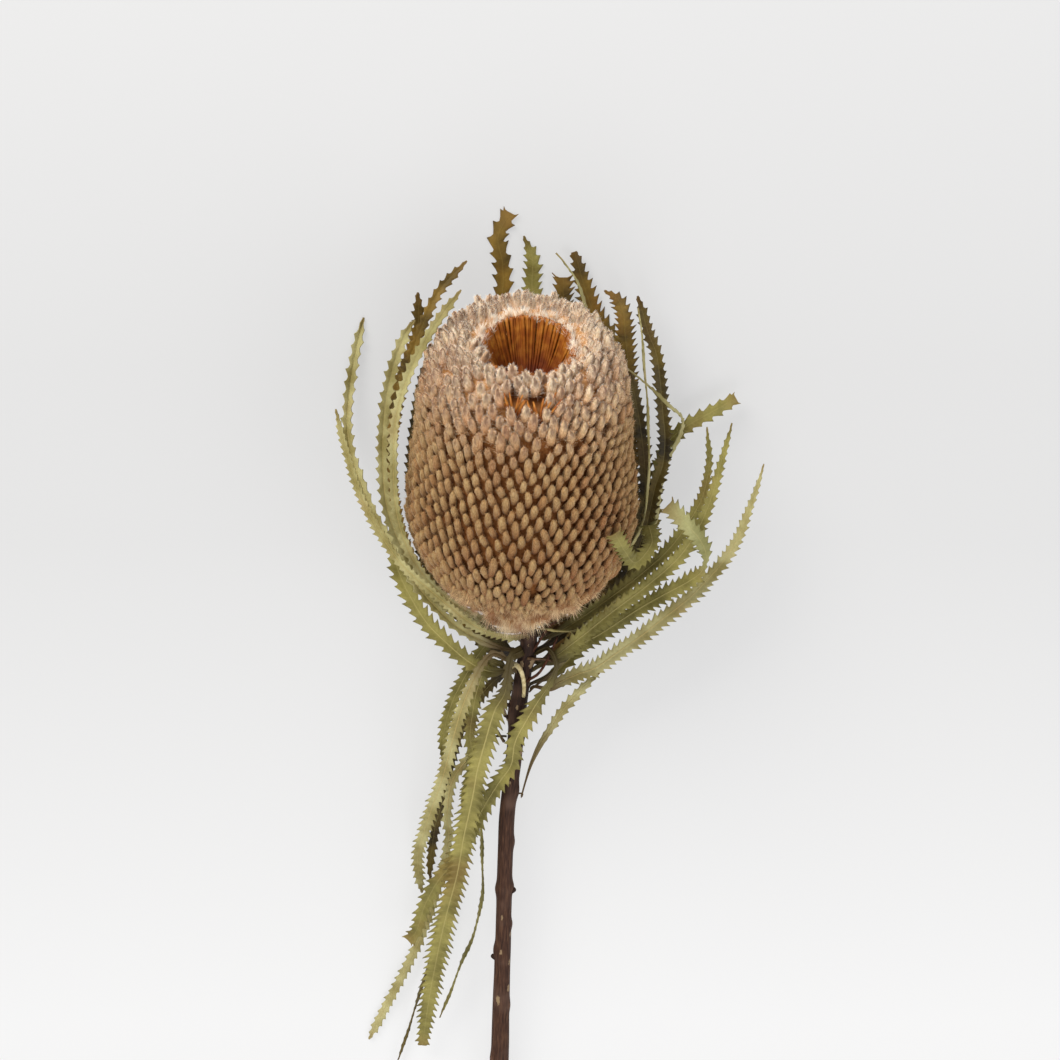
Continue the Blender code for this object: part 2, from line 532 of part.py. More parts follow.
def build_leaf(leaf, collection):
    """A blade with saw-toothed edges along its route, thickened by a Solidify modifier."""
    middle, radius, side = on_stem(*leaf["at"])
    start = middle + side * (radius + LEAF_CLEAR)
    points = [start, start + side * STALK_START] + [seen(*spot) for spot in leaf["route"]]
    spine = evenly(smooth_through(points), TOOTH_PITCH / 2)
    last = len(spine) - 1
    stalk = leaf.get("stalk", STALK)
    directions = blade_directions(spine, side, leaf["turn"])
    bm = bmesh.new()
    rows = []
    for index, (spot, across) in enumerate(zip(spine, directions)):
        width = leaf_shape(index / last, leaf["half"] * MM, stalk)
        toothed = index / last > 0.7 * stalk
        cut = NOTCH if toothed and (last - index) % 2 else 1.0
        rows.append([bm.verts.new(spot + across * width * cut * hand) for hand in (-1, 1)])
    for (left, right), (next_left, next_right) in zip(rows, rows[1:]):
        bm.faces.new((left, right, next_right))
        bm.faces.new((left, next_right, next_left))
    blade = object_from(bm, leaf["name"], collection)
    solid = blade.modifiers.new("thickness", "SOLIDIFY")
    solid.thickness = BLADE_THICKNESS
    solid.offset = 0
    finish(blade, leaf["tone"], 0.7)
    return blade


def main():
    clear_scene()
    collection = new_collection("dried_banksia")
    build_head(collection)
    build_tubes(collection)
    build_stem(collection)
    for leaf in LEAVES:
        build_leaf(leaf, collection)


main()
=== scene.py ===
import math
import random

import bmesh
import bpy
from mathutils import Matrix, Vector, noise
from mathutils.geometry import interpolate_bezier


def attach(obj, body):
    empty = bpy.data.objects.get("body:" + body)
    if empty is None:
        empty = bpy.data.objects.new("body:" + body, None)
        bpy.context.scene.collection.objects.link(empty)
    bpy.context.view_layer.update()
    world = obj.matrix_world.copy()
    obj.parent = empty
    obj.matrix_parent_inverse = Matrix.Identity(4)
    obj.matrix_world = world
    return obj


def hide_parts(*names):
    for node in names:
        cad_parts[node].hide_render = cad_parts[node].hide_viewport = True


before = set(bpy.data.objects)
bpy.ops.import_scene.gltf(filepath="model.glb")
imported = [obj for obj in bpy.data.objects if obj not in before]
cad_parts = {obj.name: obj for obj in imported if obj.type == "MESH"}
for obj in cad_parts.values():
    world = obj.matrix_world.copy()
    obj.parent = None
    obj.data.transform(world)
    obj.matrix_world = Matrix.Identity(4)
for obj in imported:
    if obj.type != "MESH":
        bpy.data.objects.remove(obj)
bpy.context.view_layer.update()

mm = 0.001


def hexColour(code):
    # sRGB hex to the linear colour that a socket takes
    parts = [int(code[i:i + 2], 16) / 255 for i in (1, 3, 5)]
    return (*[p / 12.92 if p <= 0.04045 else ((p + 0.055) / 1.055) ** 2.4 for p in parts], 1.0)


def setInputs(node, inputs):
    # an input takes a value, a hex colour, a socket, or the first output in use of another node
    for name, value in inputs.items():
        if isinstance(value, bpy.types.Node):
            value = next(socket for socket in value.outputs if socket.enabled)
        if isinstance(value, bpy.types.NodeSocket):
            node.id_data.links.new(value, node.inputs[name])
        else:
            node.inputs[name].default_value = hexColour(value) if isinstance(value, str) else value


def addNode(tree, kind, inputs={}, stops=(), **settings):
    node = tree.nodes.new("ShaderNode" + kind)
    for name, value in settings.items():
        setattr(node, name, value)
    for number, (place, colour) in enumerate(stops):
        if number > 1:
            node.color_ramp.elements.new(place)
        node.color_ramp.elements[number].position = place
        node.color_ramp.elements[number].color = hexColour(colour)
    setInputs(node, inputs)
    return node


def paintOver(tree, colour, *coats):
    # lays coats over a colour in turn: how much of each, its colour, and how it blends
    for share, coat, *blend in coats:
        colour = addNode(tree, "Mix", {0: share, 6: colour, 7: coat}, data_type="RGBA",
                         blend_type=blend[0] if blend else "MIX")
    return colour


def newMaterial(name):
    material = bpy.data.materials.new(name)
    material.use_nodes = True
    return material, material.node_tree, material.node_tree.nodes["Principled BSDF"]


def smoothThrough(points):
    # a smooth line through its points: Bezier stretches with handles along the neighbours
    line = []
    for index in range(len(points) - 1):
        before = points[max(index - 1, 0)]
        start, end = points[index], points[index + 1]
        after = points[min(index + 2, len(points) - 1)]
        reach = (end - start).length / 3
        out = start + (end - before).normalized() * reach
        back = end - (after - start).normalized() * reach
        line += interpolate_bezier(start, out, back, end, 12)[:-1]
    return line + [points[-1]]


def lengthOf(line):
    return sum((b - a).length for a, b in zip(line, line[1:]))


def pointsAlong(line, wanted):
    # the points of a line at these lengths from its start, which only grow
    spots = []
    passed = 0.0
    piece = 0
    for length in wanted:
        while piece < len(line) - 2 and passed + (line[piece + 1] - line[piece]).length < length:
            passed += (line[piece + 1] - line[piece]).length
            piece += 1
        step = line[piece + 1] - line[piece]
        spots.append(line[piece] + step * min(1.0, (length - passed) / step.length))
    return spots


def smoothStep(low, high, value):
    part = min(1.0, max(0.0, (value - low) / (high - low)))
    return part * part * (3 - 2 * part)


def startShape(*names):
    # an empty bmesh, and a layer of vertex values for each name
    bm = bmesh.new()
    return (bm, *[bm.verts.layers.float.new(name) for name in names])


def asMesh(bm, name):
    mesh = bpy.data.meshes.new(name)
    bm.to_mesh(mesh)
    bm.free()
    return mesh


def objectFrom(bm, name, materials, sharp=None):
    mesh = bpy.data.meshes.new(name)
    bm.to_mesh(mesh)
    bm.free()
    mesh.shade_smooth()
    if sharp:
        mesh.set_sharp_from_angle(angle=math.radians(sharp))
    for material in materials:
        mesh.materials.append(material)
    piece = bpy.data.objects.new(name, mesh)
    bpy.context.scene.collection.objects.link(piece)
    return piece


def settle(piece, slot, *nodes):
    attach(piece, "root")
    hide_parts(*nodes)


def standAt(root, way, size=1.0):
    # the matrix that stands a shape on a point, with its own z along the way
    return (Matrix.Translation(root) @ way.to_track_quat("Z", "X").to_matrix().to_4x4()
            @ Matrix.Scale(size, 4))


def tubeAlong(bm, line, radii, sides, level=None, levels=(0.0, 1.0)):
    # a tube along a line: a circle extruded from point to point, its ends closed by fans
    last = len(line) - 1
    made = []
    ring = None
    for index, (spot, radius) in enumerate(zip(line, radii)):
        way = (line[min(index + 1, last)] - line[max(index - 1, 0)]).normalized()
        if ring is None:
            ring = bmesh.ops.create_circle(bm, cap_ends=True, segments=sides, radius=radius,
                                           matrix=standAt(spot, way))["verts"]
            edges = list({edge for vert in ring for edge in vert.link_edges})
        else:
            grown = bmesh.ops.extrude_edge_only(bm, edges=edges)["geom"]
            ring = [item for item in grown if isinstance(item, bmesh.types.BMVert)]
            edges = [item for item in grown if isinstance(item, bmesh.types.BMEdge)]
            turned = oldWay.rotation_difference(way).to_matrix().to_4x4()
            move = Matrix.Translation(spot) @ turned @ Matrix.Scale(radius / oldRadius, 4)
            bmesh.ops.transform(bm, matrix=move @ Matrix.Translation(-oldSpot), verts=ring)
        oldSpot, oldWay, oldRadius = spot, way, radius
        if level is not None:
            for vert in ring:
                vert[level] = levels[0] + (levels[1] - levels[0]) * index / last
        made += ring
    bmesh.ops.contextual_create(bm, geom=edges)
    return made


# The flower is laid down, and the camera looks down on it from beyond its crown
studio = {
    "elevation": math.radians(67.5),   # of the camera over the surface
    "distance": 1.5,                   # from the camera to what it aims at
    "aim": (2.0, 30.0),                # mm across and up from the base of the head
    "frameWidth": 0.424,               # what the picture spans at the head
    "floorSize": 6.0,
    "floorColour": "#7C7C7C",
    # painted light: the floor glows as well as taking the lamps' light, so its shadows stay faint
    "floorGlow": 0.8,
    "glowSpan": (-0.26, 0.24),         # from the front of the picture to its back
    "glowStops": [(0.0, "#E6E6E6"), (0.45, "#CECECE"), (0.6, "#CDCDCD"), (1.0, "#D8D8D8")],
    "skyColour": "#F6F6F8",
    "skyStrength": 0.55,
    # each lamp's place, size, power and colour
    "keyLight": ((-0.8, 1.4, 1.05), 1.1, 34.0, "#FFFCF6"),
    "fillLight": ((1.2, -0.4, 1.2), 1.2, 10.0, "#FBFAFC"),
    "lowLight": ((-0.1, -0.9, 1.6), 1.4, 14.0, "#FFFFFF"),
}
towardsViewer = Vector((0, math.cos(studio["elevation"]), math.sin(studio["elevation"])))
acrossView = Vector((1, 0, 0))
upView = towardsViewer.cross(acrossView)


# The head, turned about its axis: (along the axis, radius) in mm, out to the tips of the florets
head = {
    "profile": [
        (0.0, 9.0), (5.0, 19.6), (13.0, 30.4), (24.0, 39.2), (36.0, 43.8), (46.0, 45.8),
        (60.0, 44.8), (75.0, 43.2), (90.0, 42.0), (101.0, 40.6), (110.0, 38.2), (118.0, 34.6),
        (124.0, 29.8), (126.6, 25.8), (126.2, 22.6), (123.8, 19.8), (120.6, 18.0),
    ],
    "rise": math.radians(11.0),
    "lean": math.radians(1.5),
    "pressed": 1.2,
    "length": 127.0,
    "bodyLeft": (1.6, 3.0),            # mm that the body stands left of its base and pit
    "pitLeft": 1.8,
    "rimLow": 1.0,                     # mm that the rim lies under its profile
    "rimTilt": 3.2,                    # mm that it is lower in front and higher behind
}


def headFrame():
    # the base of the head, the way along its axis, and two ways across it
    axis = Vector((math.sin(head["lean"]), math.cos(head["rise"]), math.sin(head["rise"])))
    axis.normalize()
    right = axis.cross(Vector((0, 0, 1))).normalized()
    front = right.cross(axis)
    outline = smoothThrough([Vector((s, r, 0)) * mm for s, r in head["profile"]])
    lowest = min(outline, key=lambda spot: (axis * spot.x - front * spot.y).z)
    touching = axis * lowest.x - front * lowest.y
    return -touching - Vector((0, 0, head["pressed"] * mm)), axis, right, front


headBase, headAxis, headRight, headFront = headFrame()


def outOfHead(turn):
    return headRight * math.cos(turn) + headFront * math.sin(turn)


def onHead(along, radius, turn):
    # along and radius in mm; the pit keeps to the axis, and the body round it stands straighter
    inner = smoothStep(36, 21, radius) * smoothStep(80, 105, along)
    lowLeft, highLeft = head["bodyLeft"]
    left = lowLeft + (highLeft - lowLeft) * smoothStep(-20, 100, along)
    left = left * smoothStep(-4, 10, along) * (1 - inner) + head["pitLeft"] * inner
    lower = head["rimLow"] + head["rimTilt"] * math.sin(turn)
    along -= lower * smoothStep(33, 20, radius) * smoothStep(104, 119, along)
    return headBase + headAxis * along * mm + outOfHead(turn) * radius * mm - headRight * left * mm


def surfaceRadius(along):
    # the head's radius at a distance from its base, both in mm, below its crown
    profile = head["profile"]
    for (low, first), (high, second) in zip(profile, profile[1:]):
        if low <= along <= high:
            return first + (second - first) * (along - low) / (high - low)


def besideHead(across, up):
    # a point in mm from the base of the head, on the plane through it that faces the camera
    return headBase + (acrossView * across + upView * up) * mm


def cameraPlace():
    return besideHead(*studio["aim"]) + towardsViewer * studio["distance"]


def seen(across, up, height):
    # the point at a height over the surface that the camera sees at this place beside the head
    plane = besideHead(across, up)
    eye = cameraPlace()
    return eye + (plane - eye) * (eye.z - height * mm) / (eye.z - plane.z)


def makeCamera():
    camera = bpy.data.objects.new("camera", bpy.data.cameras.new("camera"))
    bpy.context.scene.collection.objects.link(camera)
    camera.data.angle = 2 * math.atan(studio["frameWidth"] / 2 / studio["distance"])
    turned = Matrix((acrossView, upView, towardsViewer)).transposed().to_4x4()
    camera.matrix_world = Matrix.Translation(cameraPlace()) @ turned
    bpy.context.scene.camera = camera


def makeStudio():
    # a pale matt surface that glows with painted light, which lifts the shadows on it, a wide soft
    # light beyond the crown and two weaker ones
    bm = bmesh.new()
    bmesh.ops.create_grid(bm, x_segments=1, y_segments=1, size=studio["floorSize"] / 2)
    material, tree, shader = newMaterial("glowingTable")
    # painted light: the floor's glow falls off a little from the front edge, and less beyond the flower
    front, behind = studio["glowSpan"]
    spot = addNode(tree, "SeparateXYZ", {"Vector": addNode(tree, "TexCoord").outputs["Object"]})
    back = addNode(tree, "MapRange", {"Value": spot.outputs["Y"], "From Min": front,
                                      "From Max": behind})
    glow = addNode(tree, "ValToRGB", {"Fac": back}, stops=studio["glowStops"])
    setInputs(shader, {"Base Color": studio["floorColour"], "Roughness": 0.9,
                       "Specular IOR Level": 0.1, "Emission Color": glow,
                       "Emission Strength": studio["floorGlow"]})
    objectFrom(bm, "floor", [material])
    for name in ("keyLight", "fillLight", "lowLight"):
        place, size, power, colour = studio[name]
        lamp = bpy.data.lights.new(name, "AREA")
        lamp.shape = "DISK"
        lamp.size = size
        lamp.energy = power
        lamp.color = hexColour(colour)[:3]
        light = bpy.data.objects.new(name, lamp)
        light.location = place
        light.rotation_mode = "QUATERNION"
        light.rotation_quaternion = Vector(place).to_track_quat("Z", "Y")
        bpy.context.scene.collection.objects.link(light)
    world = bpy.data.worlds.new("studioWorld")
    world.use_nodes = True
    setInputs(world.node_tree.nodes["Background"], {"Color": studio["skyColour"],
                                                    "Strength": studio["skyStrength"]})
    bpy.context.scene.world = world
    bpy.context.scene.view_settings.view_transform = "Standard"


# Two small gaps in front of the crown's rim, where flower tubes stand bare
gaps = [
    {"along": 116.2, "turn": math.radians(97), "across": 3.3, "tall": 4.4, "styles": 8},
    {"along": 115.0, "turn": math.radians(81), "across": 4.6, "tall": 5.6, "styles": 12},
]


def fromGap(point, gap):
    # how far a point is from the middle of a gap, where 1 is the gap's edge
    off = point - onHead(gap["along"], surfaceRadius(gap["along"]), gap["turn"])
    up = off.dot(headAxis)
    side = off.dot(headAxis.cross(outOfHead(gap["turn"])))
    return math.hypot(up / gap["tall"], side / gap["across"]) / mm


def alongHead(tree):
    # how far along the head a point is, from 0 at its base to 1 at its crown
    place = addNode(tree, "TexCoord").outputs["Object"]
    reach = addNode(tree, "VectorMath", {0: place, 1: headAxis}, operation="DOT_PRODUCT")
    start = headBase.dot(headAxis)
    return addNode(tree, "MapRange", {"Value": reach.outputs["Value"], "From Min": start,
                                      "From Max": start + head["length"] * mm})


# The florets stand in a net of two steps: c goes down the head, p goes round it, and
# 47 p steps come to one turn and 7 c steps
florets = {
    "around": 47,
    "drift": 7,
    "stepDown": (-0.0322, -9.07),      # c, as an angle and mm along the surface
    "apart": (5.3, 4.7, 3.95),         # mm that limbs stay apart: base, middle, crown
    "baseEnds": (24, 8),               # mm along, over which the base's ways begin
    "crownStarts": (84, 112),          # and the crown's
    "seamCloser": 0.9,                 # mm that limbs are closer where the net meets the spiral
    "seamReach": 4.0,
    "netTo": 99.0,                     # mm along the axis; beyond, a golden-angle spiral
    "crownPatch": 21.5,                # mm² of the crown for each floret of the spiral
    "goldenTurn": math.radians(137.5077),
    "bareTo": (4.0, 15.0),             # mm along; below, wool takes the place of the florets
    "sides": 7,
    "uneven": 0.22,                    # how much a limb's radius wanders
    "sizes": (0.88, 1.1),              # times the shape below
    # the closed flower from its root to its tip, as (out, up, radius) in mm: a tube, then a limb
    "lower": [(-5.6, -8.6, 0.0), (-4.3, -7.9, 0.7), (-2.7, -6.3, 1.1), (-1.5, -4.4, 1.36),
              (-0.6, -2.4, 1.46), (0.0, -0.3, 1.5), (0.2, 1.7, 1.4), (0.2, 3.3, 1.0),
              (0.15, 4.2, 0.0)],
    "crown": [(-6.2, -8.8, 0.0), (-4.8, -8.0, 0.7), (-2.8, -6.3, 1.1), (-1.2, -4.4, 1.45),
              (-0.3, -2.2, 1.68), (0.0, 0.0, 1.72), (0.05, 2.2, 1.5), (0.0, 4.0, 1.02),
              (-0.05, 5.2, 0.0)],
    "crownFrom": (99.0, 4.5),          # mm along the axis, and how far that wanders
    "sunk": 1.75,                      # mm that a limb's middle lies under the tips' surface
    "rimSunk": 3.2,                    # and how much deeper where the limbs stand across it
    "flare": 0.36,                     # how far limbs lean out with the head's flare at its base
    "outward": 11.0,                   # degrees that limbs lean out from the surface
    "loose": (5.5, 7.5),               # degrees of unevenness: low down and at the crown
    "baseLooser": 6.0,                 # and how many more at the base
    "crownOutward": 5.0,               # degrees that crown limbs lean out more
    "rimInward": 18.0,                 # and those at the pit lean in
    "fallen": 11,                      # limbs at the left of the rim that lean over the pit
    "fallenAlong": (122.6, 0.6),       # mm along the axis, and how far that wanders
    "fallenRadius": (21.0, 0.9),       # mm from the axis
    "fallenTurn": (2.86, 0.2),         # radians round it
    "variants": 6,
    "seed": 11,
}


def limbMaterial(name, sheen):
    # Closed banksia flowers, dried: a matt felted limb, tan low down and cream at the crown, on a tube
    # that is dark brown deep between them, partly its own colour and partly painted shade. Felt
    # scatters light, so there is no gloss, only a soft pale sheen where the fibres stand up at its
    # edges.
    material, tree, shader = newMaterial(name)
    zone = alongHead(tree)
    place = addNode(tree, "TexCoord").outputs["Object"]
    level, flank, tint = [addNode(tree, "Attribute", attribute_name=layer).outputs["Fac"]
                          for layer in ("level", "flank", "tint")]
    limb = addNode(tree, "ValToRGB", {"Fac": zone}, stops=[
        (0.0, "#B09872"), (0.5, "#AE946C"), (0.7, "#C0A67C"), (0.82, "#E4CAA6"), (1.0, "#FFF4E2")])
    tube = addNode(tree, "ValToRGB", {"Fac": zone}, stops=[
        (0.0, "#90603A"), (0.6, "#8E5E34"), (0.78, "#AC7640"), (0.9, "#CA8E54"), (1.0, "#E0A870")])
    # painted shade: low in each floret the limb's colour gives way to the tube's darker one, as the
    # florets shade each other
    rise = addNode(tree, "MapRange", {"Value": level, "From Min": 0.3, "From Max": 0.78})
    # painted shade: its sides are darker and redder low on the head, as shade on the limbs' rounded
    # sides
    below = addNode(tree, "MapRange", {"Value": zone, "From Min": 0.75, "From Max": 0.55,
                                       "To Max": 0.28})
    sideShade = addNode(tree, "Math", {0: flank, 1: below}, operation="MULTIPLY")
    # painted rim light at the crown: a grey-brown streak along the middle of the tip, with the sides
    # left pale as a sheen at the edges would light them
    tip = addNode(tree, "MapRange", {"Value": level, "From Min": 0.62, "From Max": 0.8})
    high = addNode(tree, "MapRange", {"Value": zone, "From Min": 0.6, "From Max": 0.85,
                                      "To Max": 0.9})
    middle = addNode(tree, "Math", {0: 1.0, 1: flank}, operation="SUBTRACT")
    bare = addNode(tree, "Math", {0: tip, 1: high}, operation="MULTIPLY")
    bare = addNode(tree, "Math", {0: bare, 1: middle}, operation="MULTIPLY")
    # from floret to floret the felt is redder, browner or paler
    spread = addNode(tree, "ValToRGB", {"Fac": tint}, stops=[
        (0.0, "#DCC2AC"), (0.15, "#E4D4C6"), (0.5, "#ECE6DC"), (0.85, "#F6F0E2"), (1.0, "#FFFEF4")])
    # and it has kept more of its red in patches 30 mm across
    stain = addNode(tree, "TexNoise", {"Vector": place, "Scale": 34.0, "Detail": 2.0})
    stained = addNode(tree, "MapRange", {"Value": stain, "From Min": 0.5, "From Max": 0.68,
                                         "To Max": 0.35})
    # the felt's fibres, along the head and 0.4 mm apart so that they show
    combed = addNode(tree, "Mapping", {"Vector": place, "Scale": (1.0, 0.3, 0.7)})
    felt = addNode(tree, "TexNoise", {"Vector": combed, "Scale": 2500.0, "Detail": 2.0})
    fibres = addNode(tree, "ValToRGB", {"Fac": felt}, stops=[(0.35, "#A8967E"), (0.65, "#FFFFFF")])
    setInputs(shader, {
        "Base Color": paintOver(tree, tube, (rise, limb), (sideShade, "#9C6A40"), (bare, "#80685A"),
                                (0.85, spread, "MULTIPLY"), (stained, "#8E5B3C"),
                                (0.7, fibres, "MULTIPLY")),
        "Normal": addNode(tree, "Bump", {"Height": felt, "Strength": 0.5, "Distance": 0.0002}),
        "Roughness": 0.95, "Specular IOR Level": 0.2,
        "Sheen Weight": sheen, "Sheen Roughness": 0.4, "Sheen Tint": "#FFEBD0",
        "Subsurface Weight": 0.3, "Subsurface Radius": (1.0, 0.7, 0.45), "Subsurface Scale": 0.0015})
    return material


def floretShape(path, bend):
    # one closed flower from a UV sphere, its rings moved along the path: root, tube, limb, tip
    bm, level, flank, _ = startShape("level", "flank", "tint")
    rings = len(path) - 1
    bmesh.ops.create_uvsphere(bm, u_segments=florets["sides"], v_segments=rings, radius=1.0)
    for vert in bm.verts:
        ring = round(math.acos(max(-1.0, min(1.0, -vert.co.z))) / math.pi * rings)
        out, up, radius = path[ring]
        around = Vector((vert.co.x, vert.co.y, 0))
        if around.length > 0.01:
            around.normalize()
            vert[flank] = smoothStep(0.9, 0.3, abs(around.x))
        vert[level] = ring / rings
        wander = noise.noise(Vector((bend * 40 + around.x, around.y, ring * 0.7)))
        radius *= 1 + florets["uneven"] * wander
        vert.co = (Vector((out, 0, up)) + around * radius) * mm
        vert.co += Vector((0, bend * (vert.co.z / mm / 4) ** 2 * mm, 0))
    return bm


def floretNet(outline):
    # every place for a floret, as (mm along the surface, angle round it), base first: the net,
    # and over the crown a spiral that gives each one the same patch of it
    total = lengthOf(outline)
    downTurn, down = florets["stepDown"]
    roundTurn = (2 * math.pi + florets["drift"] * downTurn) / florets["around"]
    fall = florets["drift"] * down / florets["around"]
    crownStart = lengthOf([spot for spot in outline if spot.x < florets["netTo"]])
    net = []
    for column in range(florets["around"]):
        for row in range(-60, 30):
            half = row % 2 / 2
            reach = (column + half) * fall + row * down / 2
            if 0 <= reach <= crownStart:
                net.append((reach, (column + half) * roundTurn + row * downTurn / 2))
    area = 0.0
    reach = crownStart
    number = 0
    step = 0.1
    while reach < total:
        radius = pointsAlong(outline, [reach])[0].y
        area += 2 * math.pi * radius * step
        reach += step
        if area > florets["crownPatch"]:
            area -= florets["crownPatch"]
            number += 1
            net.append((reach, number * florets["goldenTurn"]))
    return sorted(net)


def floretPlaces():
    # where each floret stands: its matrix, and whether it is one of the crown's
    chance = random.Random(florets["seed"])
    outline = smoothThrough([Vector((s, r, 0)) for s, r in head["profile"]])
    net = floretNet(outline)
    spots = pointsAlong(outline, [reach for reach, _ in net])
    nexts = pointsAlong(outline, [reach + 0.5 for reach, _ in net])
    baseApart, midApart, crownApart = florets["apart"]
    lowLoose, highLoose = florets["loose"]
    places = []
    taken = []
    for (_, angle), spot, following in zip(net, spots, nexts):
        along, radius = spot.x, spot.y
        crown = smoothStep(*florets["crownStarts"], along)
        apart = midApart + (crownApart - midApart) * crown
        apart += (baseApart - apart) * smoothStep(*florets["baseEnds"], along)
        pastSeam = (along - florets["netTo"] - 1.5) / florets["seamReach"]
        apart -= florets["seamCloser"] * math.exp(-pastSeam ** 2)
        turn = math.pi / 2 - angle
        centre = onHead(along, radius, turn)
        if any((centre - other).length < apart * mm for other in taken[-140:]):
            continue
        taken.append(centre)
        if along > 95 and any(fromGap(centre, gap) < 1 for gap in gaps):
            continue
        if along < chance.uniform(*florets["bareTo"]):
            continue
        run = following - spot
        slope = math.degrees(math.atan2(run.y, run.x))
        loose = lowLoose + (highLoose - lowLoose) * crown
        loose += florets["baseLooser"] * smoothStep(16, 4, along)
        lean = florets["outward"] + florets["flare"] * max(0.0, min(slope, 60.0))
        lean += florets["crownOutward"] * crown
        lean -= florets["rimInward"] * smoothStep(24, 18, radius) * crown
        lean = math.radians(lean + chance.gauss(0, loose))
        out = outOfHead(turn)
        side = headAxis.cross(out)
        way = headAxis * math.cos(lean) + out * math.sin(lean)
        way = (way + side * math.tan(math.radians(chance.gauss(0, loose)))).normalized()
        normal = headAxis * -math.sin(math.radians(slope)) + out * math.cos(math.radians(slope))
        centre += (way * chance.gauss(0, 0.5) + side * chance.gauss(0, 0.2)) * (0.6 + crown) * mm
        sunk = florets["sunk"] + florets["rimSunk"] * smoothStep(-35, -80, slope)
        centre -= normal * (sunk + chance.gauss(0, 0.25)) * mm
        outward = (out - way * out.dot(way)).normalized()
        frameOf = Matrix((outward, way.cross(outward), way)).transposed().to_4x4()
        size = chance.uniform(*florets["sizes"])
        places.append((Matrix.Translation(centre) @ frameOf @ Matrix.Scale(size, 4),
                       along > chance.gauss(*florets["crownFrom"])))
    for _ in range(florets["fallen"]):
        root = onHead(chance.gauss(*florets["fallenAlong"]), chance.gauss(*florets["fallenRadius"]),
                      chance.gauss(*florets["fallenTurn"]))
        way = headAxis + headRight * chance.gauss(0.5, 0.15) + headFront * chance.gauss(0.2, 0.1)
        places.append((standAt(root, way, chance.uniform(0.8, 1.0)), True))
    return places


def plant(shapes, places, chance):
    # one bmesh with a shape at every place, each with a tint of its own; what would go through
    # the surface is pressed flat
    whole = bmesh.new()
    for first in range(0, len(places), 24):
        bed = bmesh.new()
        for place in places[first:first + 24]:
            shape = chance.choice(shapes)
            tint = chance.random()
            shape.attributes["tint"].data.foreach_set("value", [tint] * len(shape.vertices))
            shape.transform(place)
            bed.from_mesh(shape)
            shape.transform(place.inverted())
        for vert in bed.verts:
            vert.co.z = max(vert.co.z, 0.02 * mm)
        whole.from_mesh(asMesh(bed, "bed"))
    return whole


# The wool on the florets, as hairs of three faces: the crown's is longer and whiter, and a bed of
# it fills the crown between the limbs. Locks of it hang at the base and round the pit.
wool = {
    "crown": [
        {"hairs": 130, "length": (0.6, 1.5), "width": 0.08, "spread": 44, "part": (4.2, 7.3),
         "bare": 0.85},
        {"hairs": 60, "length": (1.8, 3.4), "width": 0.08, "spread": 60, "part": (2, 4.4),
         "bare": 0.0},
    ],
    "lower": [
        {"hairs": 66, "length": (0.5, 1.4), "width": 0.065, "spread": 44, "part": (3, 7.6),
         "bare": 0.0},
    ],
    "lock": {"hairs": 44, "length": 5.2, "width": 0.085, "spread": 0.55},
    # locks at the base, over the top of the stem and round the pit, and their sizes
    "baseLocks": 460,
    "frontLocks": 34,
    "rimLocks": 170,
    "baseSizes": (0.5, 1.3),
    "frontSizes": (1.1, 1.9),
    "rimSizes": (0.4, 1.0),
    "baseFrom": 2.0,                   # mm along the head where they start
    "baseReach": 27.0,                 # and over how many mm they thin out
    "frontSpan": (5, 13),              # mm along the head
    "rimAlong": (120.4, 0.9),
    "rimFrom": 17.4,                   # mm from the axis
    "rimWidth": 4.0,
    "seed": 23,
}


def woolMaterial():
    # Flower hair: fine, dull and pale, nearly white at the crown where the light gets through it
    material, tree, shader = newMaterial("flowerHair")
    zone = alongHead(tree)
    root = addNode(tree, "ValToRGB", {"Fac": zone}, stops=[
        (0.0, "#B4824C"), (0.2, "#A4744A"), (0.7, "#A8743E"), (0.86, "#D89C5C"), (1.0, "#EEC492")])
    end = addNode(tree, "ValToRGB", {"Fac": zone}, stops=[
        (0.0, "#F4DEB8"), (0.2, "#E0C090"), (0.35, "#C4A272"), (0.6, "#C8A97C"),
        (0.78, "#E8D0AC"), (0.88, "#FFF2DE"), (1.0, "#FFFBF2")])
    level = addNode(tree, "Attribute", attribute_name="level").outputs["Fac"]
    outer = addNode(tree, "MapRange", {"Value": level, "From Min": 0.1, "From Max": 0.7})
    # the wool under the head is rust-brown in patches 8 mm across
    place = addNode(tree, "TexCoord").outputs["Object"]
    patches = addNode(tree, "TexNoise", {"Vector": place, "Scale": 130.0, "Detail": 2.0})
    some = addNode(tree, "MapRange", {"Value": patches, "From Min": 0.46, "From Max": 0.56})
    low = addNode(tree, "MapRange", {"Value": zone, "From Min": 0.26, "From Max": 0.12,
                                     "To Max": 0.75})
    rust = addNode(tree, "Math", {0: some, 1: low}, operation="MULTIPLY")
    setInputs(shader, {"Base Color": paintOver(tree, root, (outer, end), (rust, "#8A4E26")),
                       "Roughness": 0.9, "Specular IOR Level": 0.15})
    return material


def addHair(bm, level, root, way, length, radius):
    # a cone of three faces, open at its root
    made = bmesh.ops.create_cone(bm, cap_ends=False, segments=3, radius1=radius, radius2=0.0,
                                 depth=length, matrix=standAt(root + way * length / 2, way))
    for vert in made["verts"]:
        vert[level] = (vert.co - root).dot(way) / length


